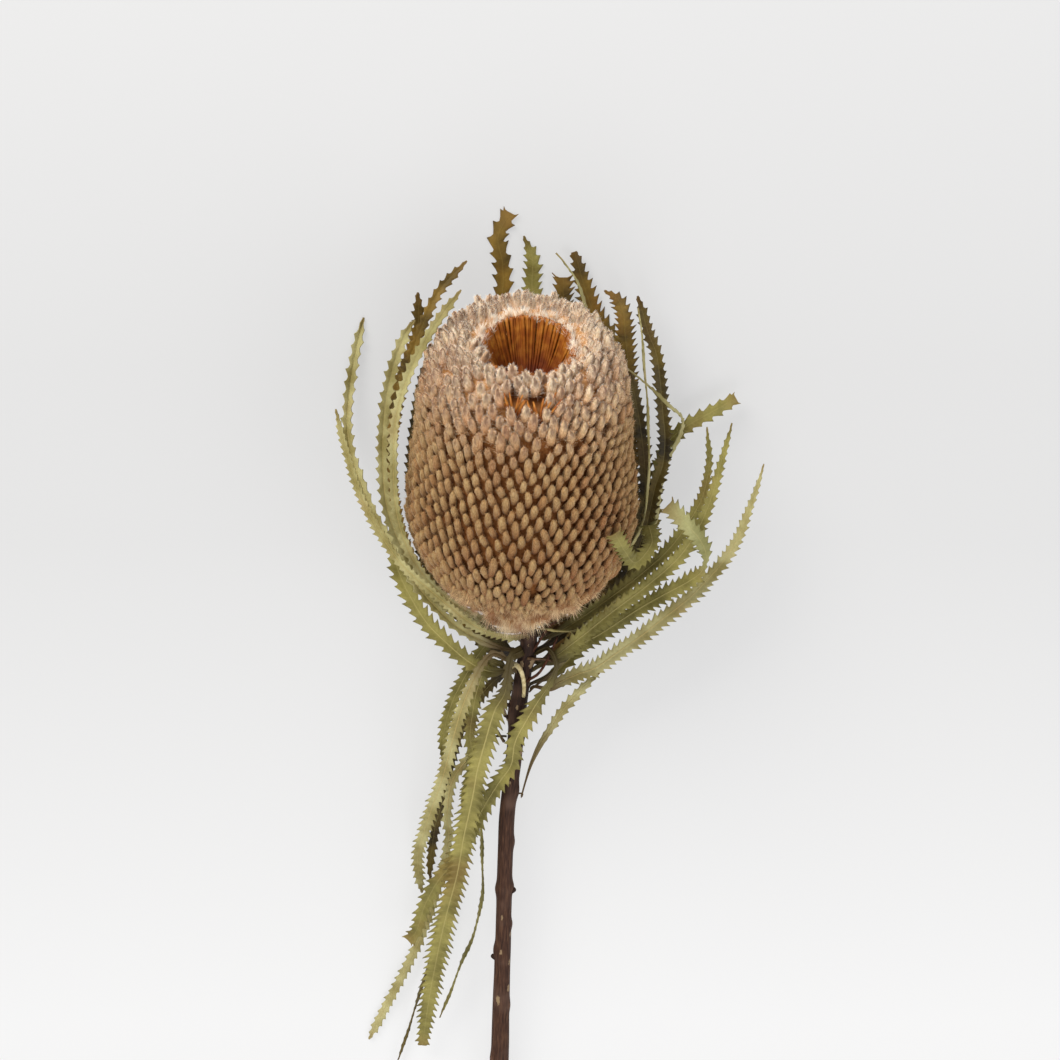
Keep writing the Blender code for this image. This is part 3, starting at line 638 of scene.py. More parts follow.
def hairShape(path, coat, chance):
    # the hairs of one limb, which lean up and out of it, all round or but for its outer face
    bm, level, _ = startShape("level", "tint")
    for _ in range(coat["hairs"]):
        part = chance.uniform(*coat["part"])
        low = min(int(part), len(path) - 2)
        out, up, radius = (a + (b - a) * (part - low) for a, b in zip(path[low], path[low + 1]))
        turn = chance.uniform(coat["bare"], 2 * math.pi - coat["bare"])
        around = Vector((math.cos(turn), math.sin(turn), 0))
        root = (Vector((out, 0, up)) + around * radius * 0.9) * mm
        lean = math.radians(coat["spread"] * chance.uniform(0.4, 1.3))
        side = Vector((0, 0, 1)).cross(around) * chance.gauss(0, 0.25)
        way = (Vector((0, 0, 1)) * math.cos(lean) + around * math.sin(lean) + side).normalized()
        length = chance.uniform(*coat["length"]) * mm
        addHair(bm, level, root, way, length, coat["width"] * mm)
    return bm


def lockShape(chance):
    # a lock of loose wool, which stands up from where it grows
    bm, level, _ = startShape("level", "tint")
    lock = wool["lock"]
    for _ in range(lock["hairs"]):
        aside = Vector((chance.gauss(0, 1), chance.gauss(0, 1), chance.gauss(0, 0.5)))
        way = (Vector((0, 0, 1)) + aside * 0.3).normalized()
        length = chance.uniform(0.4, 1.0) * lock["length"] * mm
        addHair(bm, level, aside * lock["spread"] * mm, way, length, lock["width"] * mm)
    return bm


def makeFlorets():
    chance = random.Random(florets["seed"] + 1)
    places = floretPlaces()
    bends = [chance.uniform(-0.35, 0.35) for _ in range(florets["variants"])]
    felts = {"lower": limbMaterial("driedFelt", 0.12), "crown": limbMaterial("woollyFelt", 0.25)}
    hair = woolMaterial()
    for name in ("lower", "crown"):
        high = name == "crown"
        spots = [place for place, isCrown in places if isCrown == high]
        shapes = [asMesh(floretShape(florets[name], bend), "floretShape") for bend in bends]
        piece = objectFrom(plant(shapes, spots, chance), name + "Florets", [felts[name]])
        settle(piece, "florets", "flower_head")
        print("florets:", name, len(spots), "with", len(piece.data.polygons), "faces")
        for number, coat in enumerate(wool[name]):
            chance = random.Random(wool["seed"] + 7 * number + len(name))
            shapes = [asMesh(hairShape(florets[name], coat, chance), "hairShape")
                      for _ in range(florets["variants"])]
            piece = objectFrom(plant(shapes, spots, chance), name + "Wool" + str(number + 1), [hair])
            settle(piece, "florets", "flower_head")
            print("wool:", name, len(piece.data.polygons), "faces")


def makeTufts():
    # loose wool: ragged under the head and longest over the top of the stem, and round the pit
    chance = random.Random(wool["seed"] + 9)
    places = []
    for number in range(wool["baseLocks"]):
        turn = chance.gauss(1.57, 0.6) if number % 2 else chance.uniform(0, 2 * math.pi)
        along = wool["baseFrom"] + wool["baseReach"] * chance.random() ** 1.2
        way = outOfHead(turn) * chance.uniform(0.5, 1.1) + headAxis * chance.uniform(-1.0, 0.2)
        way += headRight * chance.gauss(0, 0.3)
        root = onHead(along, surfaceRadius(along) - chance.uniform(2.5, 5.0), turn)
        places.append(standAt(root, way, chance.uniform(*wool["baseSizes"])))
    for _ in range(wool["frontLocks"]):
        along = chance.uniform(*wool["frontSpan"])
        root = onHead(along, surfaceRadius(along) - 2.5, chance.gauss(1.66, 0.14))
        way = headFront * 0.25 - headAxis + headRight * chance.gauss(0, 0.2)
        places.append(standAt(root, way, chance.uniform(*wool["frontSizes"])))
    for number in range(wool["rimLocks"]):
        turn = 2 * math.pi * (number + chance.uniform(-0.5, 0.5)) / wool["rimLocks"]
        # the rim is lower in front
        along = chance.gauss(*wool["rimAlong"]) - 3.5 * smoothStep(0.0, 0.8, math.sin(turn))
        root = onHead(along, wool["rimFrom"] + wool["rimWidth"] * chance.random() ** 1.5, turn)
        way = headAxis * chance.uniform(0.7, 1.0) - outOfHead(turn) * chance.uniform(-0.4, 0.5)
        way += headRight * chance.gauss(0, 0.25)
        places.append(standAt(root, way, chance.uniform(*wool["rimSizes"])))
    shapes = [asMesh(lockShape(chance), "lockShape") for _ in range(florets["variants"])]
    piece = objectFrom(plant(shapes, places, chance), "looseWool",
                       [bpy.data.materials["flowerHair"]])
    settle(piece, "florets", "flower_head")
    print("loose wool:", len(piece.data.polygons), "faces")


# The pit in the crown and the flower tubes that line it
pit = {
    "wall": [(121.0, 20.4), (118.0, 18.2), (111.0, 15.6), (103.0, 12.4), (97.0, 8.8), (94.0, 4.0)],
    "count": 140,
    "route": [(94.5, 4.2), (101.5, 9.4), (109.0, 13.2), (116.0, 16.0), (121.4, 18.0)],
    "radius": (0.5, 0.76),
    "taper": (0.75, 1.1),              # of each tube, from its root to its end
    "layerDepth": 0.7,
    "skew": 0.12,
    "sides": 6,
    "gapDepth": 5.0,                   # mm under the florets' tips that tubes in the gaps start
    "gapRadius": (0.42, 0.6),
    "gapReach": (1.5, 2.8),            # how long they are for each mm of the gap
    "seed": 5,
}


# The woody core under the florets, which closes round the pit
core = {
    "inset": 4.6,                      # mm that it lies under the tips of the florets
    "start": 8.0,                      # mm along the axis
    "lip": [(121.5, 24.6), (122.0, 22.4)],
    "floor": 93.5,                     # of the pit
    "steps": 80,
    "rough": 0.9,
    "hollow": 7.0,                     # mm that the gaps go into it
}


def coreMaterial():
    # The woody core: brown felt of old tubes, paler at the crown and deep brown in the gaps, partly
    # painted shade in their hollows
    material, tree, shader = newMaterial("woodyCore")
    place = addNode(tree, "TexCoord").outputs["Object"]
    grain = addNode(tree, "TexNoise", {"Vector": place, "Scale": 900.0, "Detail": 3.0})
    low = addNode(tree, "ValToRGB", {"Fac": grain}, stops=[(0.35, "#6C4120"), (0.65, "#8A5A32")])
    high = addNode(tree, "ValToRGB", {"Fac": grain}, stops=[(0.4, "#B07E4C"), (0.6, "#C89A6A")])
    crown = addNode(tree, "MapRange", {"Value": alongHead(tree), "From Min": 0.78,
                                       "From Max": 0.95})
    # painted shade: the hollows under the gaps are darker brown
    bare = addNode(tree, "Attribute", attribute_name="bare").outputs["Fac"]
    setInputs(shader, {"Base Color": paintOver(tree, low, (crown, high), (bare, "#6E3812")),
                       "Roughness": 0.95, "Specular IOR Level": 0.1})
    return material


def makeCore():
    # under the florets, the woody body with the pit in its crown: its outline spun, then bent
    bm, bare = startShape("bare")
    outline = [(along + 3 * smoothStep(20, 5, along), radius - core["inset"])
               for along, radius in head["profile"][1:-4]]
    profile = [(core["start"], 0.0)] + outline + core["lip"] + pit["wall"] + [(core["floor"], 0.0)]
    corners = [bm.verts.new((radius, 0, along)) for along, radius in profile]
    edges = [bm.edges.new(pair) for pair in zip(corners, corners[1:])]
    bmesh.ops.spin(bm, geom=corners + edges, cent=(0, 0, 0), axis=(0, 0, 1), angle=2 * math.pi,
                   steps=core["steps"], use_merge=True)
    bmesh.ops.remove_doubles(bm, verts=bm.verts, dist=0.01)
    bmesh.ops.subdivide_edges(bm, edges=bm.edges, cuts=1, use_grid_fill=True)
    for vert in bm.verts:
        place = vert.co.copy()
        vert.co = onHead(place.z, math.hypot(place.x, place.y), math.atan2(place.y, place.x))
    bmesh.ops.recalc_face_normals(bm, faces=bm.faces)
    bm.normal_update()
    for vert in bm.verts:
        vert.co += vert.normal * noise.noise(vert.co * 260) * core["rough"] * mm
        # the core is dented under the gaps, and the dents are marked for the painted shade in them
        for gap in gaps:
            hollow = 0.0
            if (vert.co - headBase).dot(headFront) > 0:
                hollow = smoothStep(1.1, 0.4, fromGap(vert.co, gap))
            vert.co -= outOfHead(gap["turn"]) * core["hollow"] * hollow * mm
            vert[bare] = max(vert[bare], hollow)
    piece = objectFrom(bm, "woodyCore", [coreMaterial()])
    settle(piece, "florets", "flower_head")
    print("core:", len(piece.data.polygons), "faces")


def tubeMaterial():
    # Dried flower tubes: thin, waxy and orange-brown, with a low sheen along them, and darkened to
    # nearly black at their roots by painted shade deep in the pit and the gaps
    material, tree, shader = newMaterial("waxyTube")
    place = addNode(tree, "TexCoord").outputs["Object"]
    streaks = addNode(tree, "TexNoise", {"Vector": place, "Scale": 300.0, "Detail": 1.0})
    wax = addNode(tree, "ValToRGB", {"Fac": streaks}, stops=[
        (0.3, "#8A480E"), (0.5, "#A05C16"), (0.7, "#BA7A2C")])
    level = addNode(tree, "Attribute", attribute_name="level").outputs["Fac"]
    # painted shade: darker towards the roots
    shade = addNode(tree, "ValToRGB", {"Fac": level}, stops=[
        (0.0, "#3A1804"), (0.35, "#B0885C"), (0.7, "#FFFFFF")])
    setInputs(shader, {"Base Color": paintOver(tree, wax, (1.0, shade, "MULTIPLY")),
                       "Roughness": 0.5, "Specular IOR Level": 0.4})
    return material


def makePitTubes():
    # the flower tubes that line the pit, fanning out to the rim, in two loose layers
    chance = random.Random(pit["seed"])
    bm, level = startShape("level")
    rootSize, endSize = pit["taper"]
    for number in range(pit["count"]):
        layer = number % 2
        turn = 2 * math.pi * (number + chance.uniform(-0.4, 0.4)) / pit["count"]
        skew = chance.uniform(-pit["skew"], pit["skew"])
        inward = pit["layerDepth"] * layer + chance.uniform(-0.3, 0.5)
        route = []
        for index, (along, radius) in enumerate(pit["route"]):
            part = index / (len(pit["route"]) - 1)
            route.append(onHead(along, radius - inward, turn + skew * (part - 0.5)))
        line = smoothThrough(route)[::6] + [route[-1]]
        radius = chance.uniform(*pit["radius"]) * mm
        last = len(line) - 1
        radii = [radius * (rootSize + (endSize - rootSize) * i / last) for i in range(last + 1)]
        tubeAlong(bm, line, radii, pit["sides"], level)
    bmesh.ops.recalc_face_normals(bm, faces=bm.faces)
    piece = objectFrom(bm, "pitTubes", [tubeMaterial()])
    settle(piece, "flower_tubes", "crown_tubes")
    print("pit tubes:", len(piece.data.polygons), "faces")


def makeGapTubes():
    # bare tubes that fan out of the small gaps in front of the rim
    chance = random.Random(pit["seed"] + 1)
    bm, level = startShape("level")
    for gap in gaps:
        out = outOfHead(gap["turn"])
        side = headAxis.cross(out)
        for number in range(gap["styles"]):
            fan = (number + 0.5) / gap["styles"] * 2 - 1 + chance.uniform(-0.1, 0.1)
            low = gap["along"] - 1.7 * gap["tall"]
            start = onHead(low, surfaceRadius(low) - pit["gapDepth"], gap["turn"])
            start += side * (fan * 1.4 + chance.gauss(0, 0.6)) * mm
            way = (headAxis * chance.uniform(0.8, 1.0) + out * chance.uniform(0.0, 0.24)
                   + side * (fan * 0.36 + chance.gauss(0, 0.1))).normalized()
            reach = chance.uniform(*pit["gapReach"]) * gap["tall"] * mm
            bow = (side * fan * 0.15 + headAxis * 0.12) * reach
            line = [start + way * reach * t + bow * t * t for t in (0, 0.25, 0.5, 0.75, 1.0)]
            radius = chance.uniform(*pit["gapRadius"]) * mm
            radii = [radius * t for t in (1.0, 1.0, 1.0, 0.9, 0.5)]
            tubeAlong(bm, line, radii, 5, level, (0.25, 1.0))
    bmesh.ops.recalc_face_normals(bm, faces=bm.faces)
    piece = objectFrom(bm, "gapTubes", [bpy.data.materials["waxyTube"]])
    settle(piece, "flower_tubes", "crown_tubes")


stem = {
    # (across, up, height of its middle, radius) in mm, as seen from the camera
    "route": [
        (1.0, -8.0, 34.2, 3.3), (1.6, -15.0, 32.9, 3.3), (-0.4, -25.0, 31.2, 3.3),
        (-2.8, -43.0, 28.8, 3.2), (-4.4, -61.0, 26.6, 3.2), (-6.8, -80.0, 24.3, 3.4),
        (-7.6, -92.0, 22.8, 3.6), (-9.0, -142.0, 15.8, 3.9), (-10.0, -180.0, 10.2, 4.0),
        (-10.8, -222.0, 3.95, 4.1),
    ],
    "topRadius": 3.1,
    "clear": 0.8,
    "sides": 28,
    "rowStep": 1.0,
    "girth": 24.0,                     # mm round it, for the bark's pattern
    # leaf scars and swellings, as (distance below the head, angle round, length, height)
    "nodes": [(8, 60, 5, 0.5), (16, -60, 5, 0.5), (24, 90, 6, 0.7), (33, 30, 5, 0.5),
              (47, -68, 6, 0.9), (53, -80, 6, 0.8), (62, 100, 5, 0.6), (88, 88, 6, 0.8),
              (113, 80, 5, 0.6), (136, 84, 5, 0.9), (137, -90, 5, 0.7), (155, 95, 4, 0.6),
              (168, -90, 5, 0.8), (196, 60, 5, 0.6), (224, -60, 5, 0.6), (250, 80, 5, 0.5)],
    # stubs of fallen leaves, as (distance below the head, angle round, length, radius)
    "stubs": [(53, -80, 3.4, 0.75), (47, -68, 3.8, 0.8), (136, 84, 1.6, 1.3), (168, -90, 1.5, 1.2)],
    "stubLean": 0.5,
    # a stub from its root to its end, as (part of its reach, times its radius)
    "stubTaper": [(0.3, 1.5), (0.6, 1.25), (0.8, 1.0), (0.93, 0.8), (1.0, 0.35)],
    "swelling": 0.22,                  # mm that the surface wanders over some 50 mm
    "barkRough": 0.12,                 # and over some 17 mm
    "scarPale": 0.45,                  # how much of a scar's pale colour shows
}


def stemLine():
    # the stem's middle as closely spaced points, with the radius at each, in metres
    middles = [onHead(-stem["clear"], 0, 0)]
    middles += [seen(across, up, height) for across, up, height, _ in stem["route"]]
    line = smoothThrough(middles)
    radii = [stem["topRadius"]] + [radius for *_, radius in stem["route"]]
    perStretch = (len(line) - 1) / (len(middles) - 1)
    sizes = []
    for index in range(len(line)):
        first = min(int(index / perStretch), len(radii) - 2)
        part = index / perStretch - first
        sizes.append((radii[first] * (1 - part) + radii[first + 1] * part) * mm)
    return line, sizes


stemPoints, stemRadii = stemLine()


def onStem(distance, around):
    # a point of the stem's middle below the head, its radius there, and the way out of it
    passed = 0.0
    index = 0
    while passed < distance * mm:
        passed += (stemPoints[index + 1] - stemPoints[index]).length
        index += 1
    down = (stemPoints[index + 1] - stemPoints[index - 1]).normalized()
    front = (towardsViewer - down * towardsViewer.dot(down)).normalized()
    side = Matrix.Rotation(math.radians(-around), 3, down) @ front
    return stemPoints[index], stemRadii[index], side


def barkMaterial():
    # Young banksia bark: dark red-brown, dull, in fine ridges along the stem, with pale pores.
    # Its UV is in mm round the stem and along it.
    material, tree, shader = newMaterial("driedBark")
    place = addNode(tree, "UVMap", uv_map="bark").outputs["UV"]
    ridges = addNode(tree, "Mapping", {"Vector": place, "Scale": (1.3, 0.12, 1.0)})
    grain = addNode(tree, "TexNoise", {"Vector": ridges, "Scale": 1.0, "Detail": 4.0,
                                       "Roughness": 0.65})
    low = addNode(tree, "ValToRGB", {"Fac": grain}, stops=[
        (0.3, "#20110A"), (0.5, "#3C2418"), (0.7, "#5A3F2C")])
    top = addNode(tree, "ValToRGB", {"Fac": grain}, stops=[
        (0.3, "#140A05"), (0.5, "#26150C"), (0.7, "#43291A")])
    down = addNode(tree, "SeparateXYZ", {"Vector": place}).outputs["Y"]
    lower = addNode(tree, "MapRange", {"Value": down, "From Min": 50.0, "From Max": 130.0})
    # bleached in patches 15 mm across
    patches = addNode(tree, "TexNoise", {"Vector": place, "Scale": 0.06, "Detail": 2.0})
    bleach = addNode(tree, "MapRange", {"Value": patches, "From Min": 0.52, "From Max": 0.72})
    # lenticels: tan pores about 1 mm wide and 2.5 mm long, here and there
    ragged = addNode(tree, "TexNoise", {"Vector": place, "Scale": 0.9, "Detail": 1.0})
    ragged = addNode(tree, "VectorMath", {0: ragged.outputs["Color"], "Scale": 1.6},
                     operation="SCALE")
    moved = addNode(tree, "VectorMath", {0: place, 1: ragged.outputs["Vector"]}, operation="ADD")
    spots = addNode(tree, "Mapping", {"Vector": moved.outputs["Vector"],
                                      "Scale": (0.19, 0.09, 1.0)})
    cells = addNode(tree, "TexVoronoi", {"Vector": spots, "Scale": 1.0}, voronoi_dimensions="2D")
    some = addNode(tree, "SeparateColor", {"Color": cells.outputs["Color"]}).outputs["Red"]
    size = addNode(tree, "MapRange", {"Value": some, "From Min": 0.5, "To Max": 0.27})
    pores = addNode(tree, "Math", {0: cells.outputs["Distance"], 1: size}, operation="SUBTRACT")
    pores = addNode(tree, "MapRange", {"Value": pores, "From Max": -0.06, "To Max": 0.85})
    scars = addNode(tree, "Attribute", attribute_name="level").outputs["Fac"]
    height = addNode(tree, "Math", {0: grain, 1: pores}, operation="ADD")
    setInputs(shader, {
        "Base Color": paintOver(tree, top, (lower, low), (bleach, "#523C30"), (pores, "#8C7658"),
                                (scars, "#6A4E3C")),
        "Normal": addNode(tree, "Bump", {"Height": height, "Strength": 0.7, "Distance": 0.0003}),
        "Roughness": 0.7, "Specular IOR Level": 0.2})
    return material


def makeStem():
    # a fine tube along the stem's route, swollen at its leaf scars and rough with bark
    bm, level = startShape("level")
    uvLayer = bm.loops.layers.uv.new("bark")
    total = lengthOf(stemPoints)
    rows = round(total / (stem["rowStep"] * mm))
    lengths = [total * row / rows for row in range(rows + 1)]
    line = pointsAlong(stemPoints, lengths)
    sizes = pointsAlong([Vector((i, r, 0)) for i, r in enumerate(stemRadii)],
                        [i * (len(stemRadii) - 1) / rows for i in range(rows + 1)])
    radii = [size.y for size in sizes]
    verts = tubeAlong(bm, line, radii, stem["sides"], level, (0.0, 0.0))
    lumps = [(*onStem(distance, around)[::2], distance, length, height)
             for distance, around, length, height in stem["nodes"]]
    for number, vert in enumerate(verts):
        row = number // stem["sides"]
        middle, radius = line[row], radii[row]
        out = (vert.co - middle).normalized()
        bend = noise.noise(Vector((out.x * 2.4, out.y * 2.4, row * 0.02 + out.z * 2.4)))
        rough = stem["swelling"] * bend
        grain = noise.noise(Vector((out.x * 6, out.y * 6 + out.z * 6, row * 0.06)))
        rough += stem["barkRough"] * grain
        scar = 0.0
        for _, side, distance, length, height in lumps:
            near = math.exp(-((row * stem["rowStep"] - distance) / length * 1.6) ** 2)
            facing = max(0.0, out.dot(side)) ** 3
            rough += height * near * facing
            scar = max(scar, near * facing)
        vert.co = middle + out * max(radius + rough * mm, 1.0 * mm)
        vert.co.z = max(vert.co.z, 0.05 * mm)
        vert[level] = stem["scarPale"] * smoothStep(0.75, 0.95, scar)
    bm.verts.index_update()
    index = {vert: number for number, vert in enumerate(verts)}
    for face in bm.faces:
        turns = [index[loop.vert] % stem["sides"] for loop in face.loops]
        for loop, turn in zip(face.loops, turns):
            if turn == 0 and max(turns) > stem["sides"] / 2:
                turn = stem["sides"]
            loop[uvLayer].uv = (turn * stem["girth"] / stem["sides"], index[loop.vert] // stem["sides"])
    piece = objectFrom(bm, "barkStem", [barkMaterial()], 50)
    settle(piece, "stem_bark", "stem")
    print("stem:", len(piece.data.polygons), "faces")


def makeStubs():
    # the stubs of fallen leaves, blunt at their ends and leaning towards the head
    bm = bmesh.new()
    for distance, around, length, radius in stem["stubs"]:
        middle, stemRadius, side = onStem(distance, around)
        way = (side + headAxis * stem["stubLean"]).normalized()
        reach = length * mm + stemRadius
        line = [middle + way * reach * part for part, _ in stem["stubTaper"]]
        radii = [radius * mm * size for _, size in stem["stubTaper"]]
        tubeAlong(bm, line, radii, 8)
    bmesh.ops.recalc_face_normals(bm, faces=bm.faces)
    piece = objectFrom(bm, "stemStubs", [bpy.data.materials["driedBark"]])
    settle(piece, "stem_bark", "stem")


# Dead stalks that still cling to the top of the stem, as (across, up, height) in mm
remnants = [
    {"radius": 1.1, "pale": 1.0, "route": [
        (-5.6, -24.6, 35.2), (-3.8, -23.8, 36.6), (-1.6, -26.4, 37.2), (-0.4, -31.4, 36.6),
        (-0.6, -37.8, 34.6)]},
    {"radius": 0.6, "pale": 0.1, "route": [
        (1.0, -21.4, 35.4), (5.0, -21.6, 36.0), (9.2, -21.8, 35.6), (12.6, -23.6, 34.6)]},
    {"radius": 0.55, "pale": 0.0, "route": [
        (2.4, -19.6, 34.0), (5.4, -15.0, 35.4), (9.2, -9.0, 35.8), (13.4, -6.0, 35.4)]},
    {"radius": 0.6, "pale": 0.0, "route": [
        (0.6, -30.4, 33.6), (5.4, -27.4, 35.2), (9.4, -21.0, 36.0), (13.0, -12.6, 36.2)]},
    {"radius": 0.6, "pale": 0.2, "route": [
        (-8.4, -54.6, 27.2), (-9.6, -52.8, 27.8), (-11.0, -50.0, 28.6)]},
    {"radius": 0.5, "pale": 0.3, "route": [
        (-6.8, -46.0, 29.0), (-8.2, -42.2, 29.8), (-8.8, -38.0, 30.4)]},
]


def stalkMaterial():
    # Dead leaf stalks: woody and dull, dark red-brown, or bleached where the skin has gone
    material, tree, shader = newMaterial("driedStalk")
    place = addNode(tree, "TexCoord").outputs["Object"]
    grain = addNode(tree, "TexNoise", {"Vector": place, "Scale": 700.0, "Detail": 2.0})
    dark = addNode(tree, "ValToRGB", {"Fac": grain}, stops=[(0.35, "#2E160C"), (0.65, "#54301E")])
    bleached = addNode(tree, "ValToRGB", {"Fac": grain}, stops=[
        (0.35, "#A08E62"), (0.65, "#C8BA90")])
    pale = addNode(tree, "Attribute", attribute_name="level").outputs["Fac"]
    setInputs(shader, {
        "Base Color": paintOver(tree, dark, (pale, bleached)),
        "Normal": addNode(tree, "Bump", {"Height": grain, "Strength": 0.4, "Distance": 0.0002}),
        "Roughness": 0.75, "Specular IOR Level": 0.2})
    return material


def makeRemnants():
    # dead stalks on the stem, tapered, some of them bleached
    bm, level = startShape("level")
    for remnant in remnants:
        line = smoothThrough([seen(*spot) for spot in remnant["route"]])[::3]
        last = len(line) - 1
        radii = [remnant["radius"] * (1.15 - 0.5 * i / last) * mm for i in range(last + 1)]
        tubeAlong(bm, line, radii, 7, level, (remnant["pale"], remnant["pale"]))
    bmesh.ops.recalc_face_normals(bm, faces=bm.faces)
    piece = objectFrom(bm, "deadStalks", [stalkMaterial()])
    settle(piece, "stem_bark", "stem")


blade = {
    "thickness": 0.45,
    "toothPitch": 3.8,
    "rowsPerTooth": 4,
    "reach": (0.0, 0.3, 1.0, 0.32),    # how far out each row of a tooth goes
    "notch": 0.5,
    "point": 9.0,                      # mm over which a leaf without an end comes to a point
    "toothLean": 0.9,                 # how far a tooth points on towards the tip
    "stagger": 2,                      # rows between the teeth of one side and the other
    "columns": (0.0, 0.07, 0.34, 0.67, 1.0),
    "petiole": 0.6,
    "stalk": 0.14,
    "stalkStart": 1.6,
    "stalkSlant": 1.2,
    "clear": 0.5,
    "leastAcross": 0.3,
    "midrib": 0.16,
    "curl": 0.12,                      # how far its edges turn down, as a part of its half width
    "wave": 0.3,                       # mm that its edges rise and fall
    "waveTurn": 0.23,                  # how fast, in radians a mm
    "toothSizes": (0.72, 1.12),
    "endWidth": 0.3,                   # of a leaf that comes to a point
    "dome": 0.03,                      # how far each lobe bulges
    "lowest": 0.12,                    # mm that nothing of a leaf goes under
    "seed": 41,
}


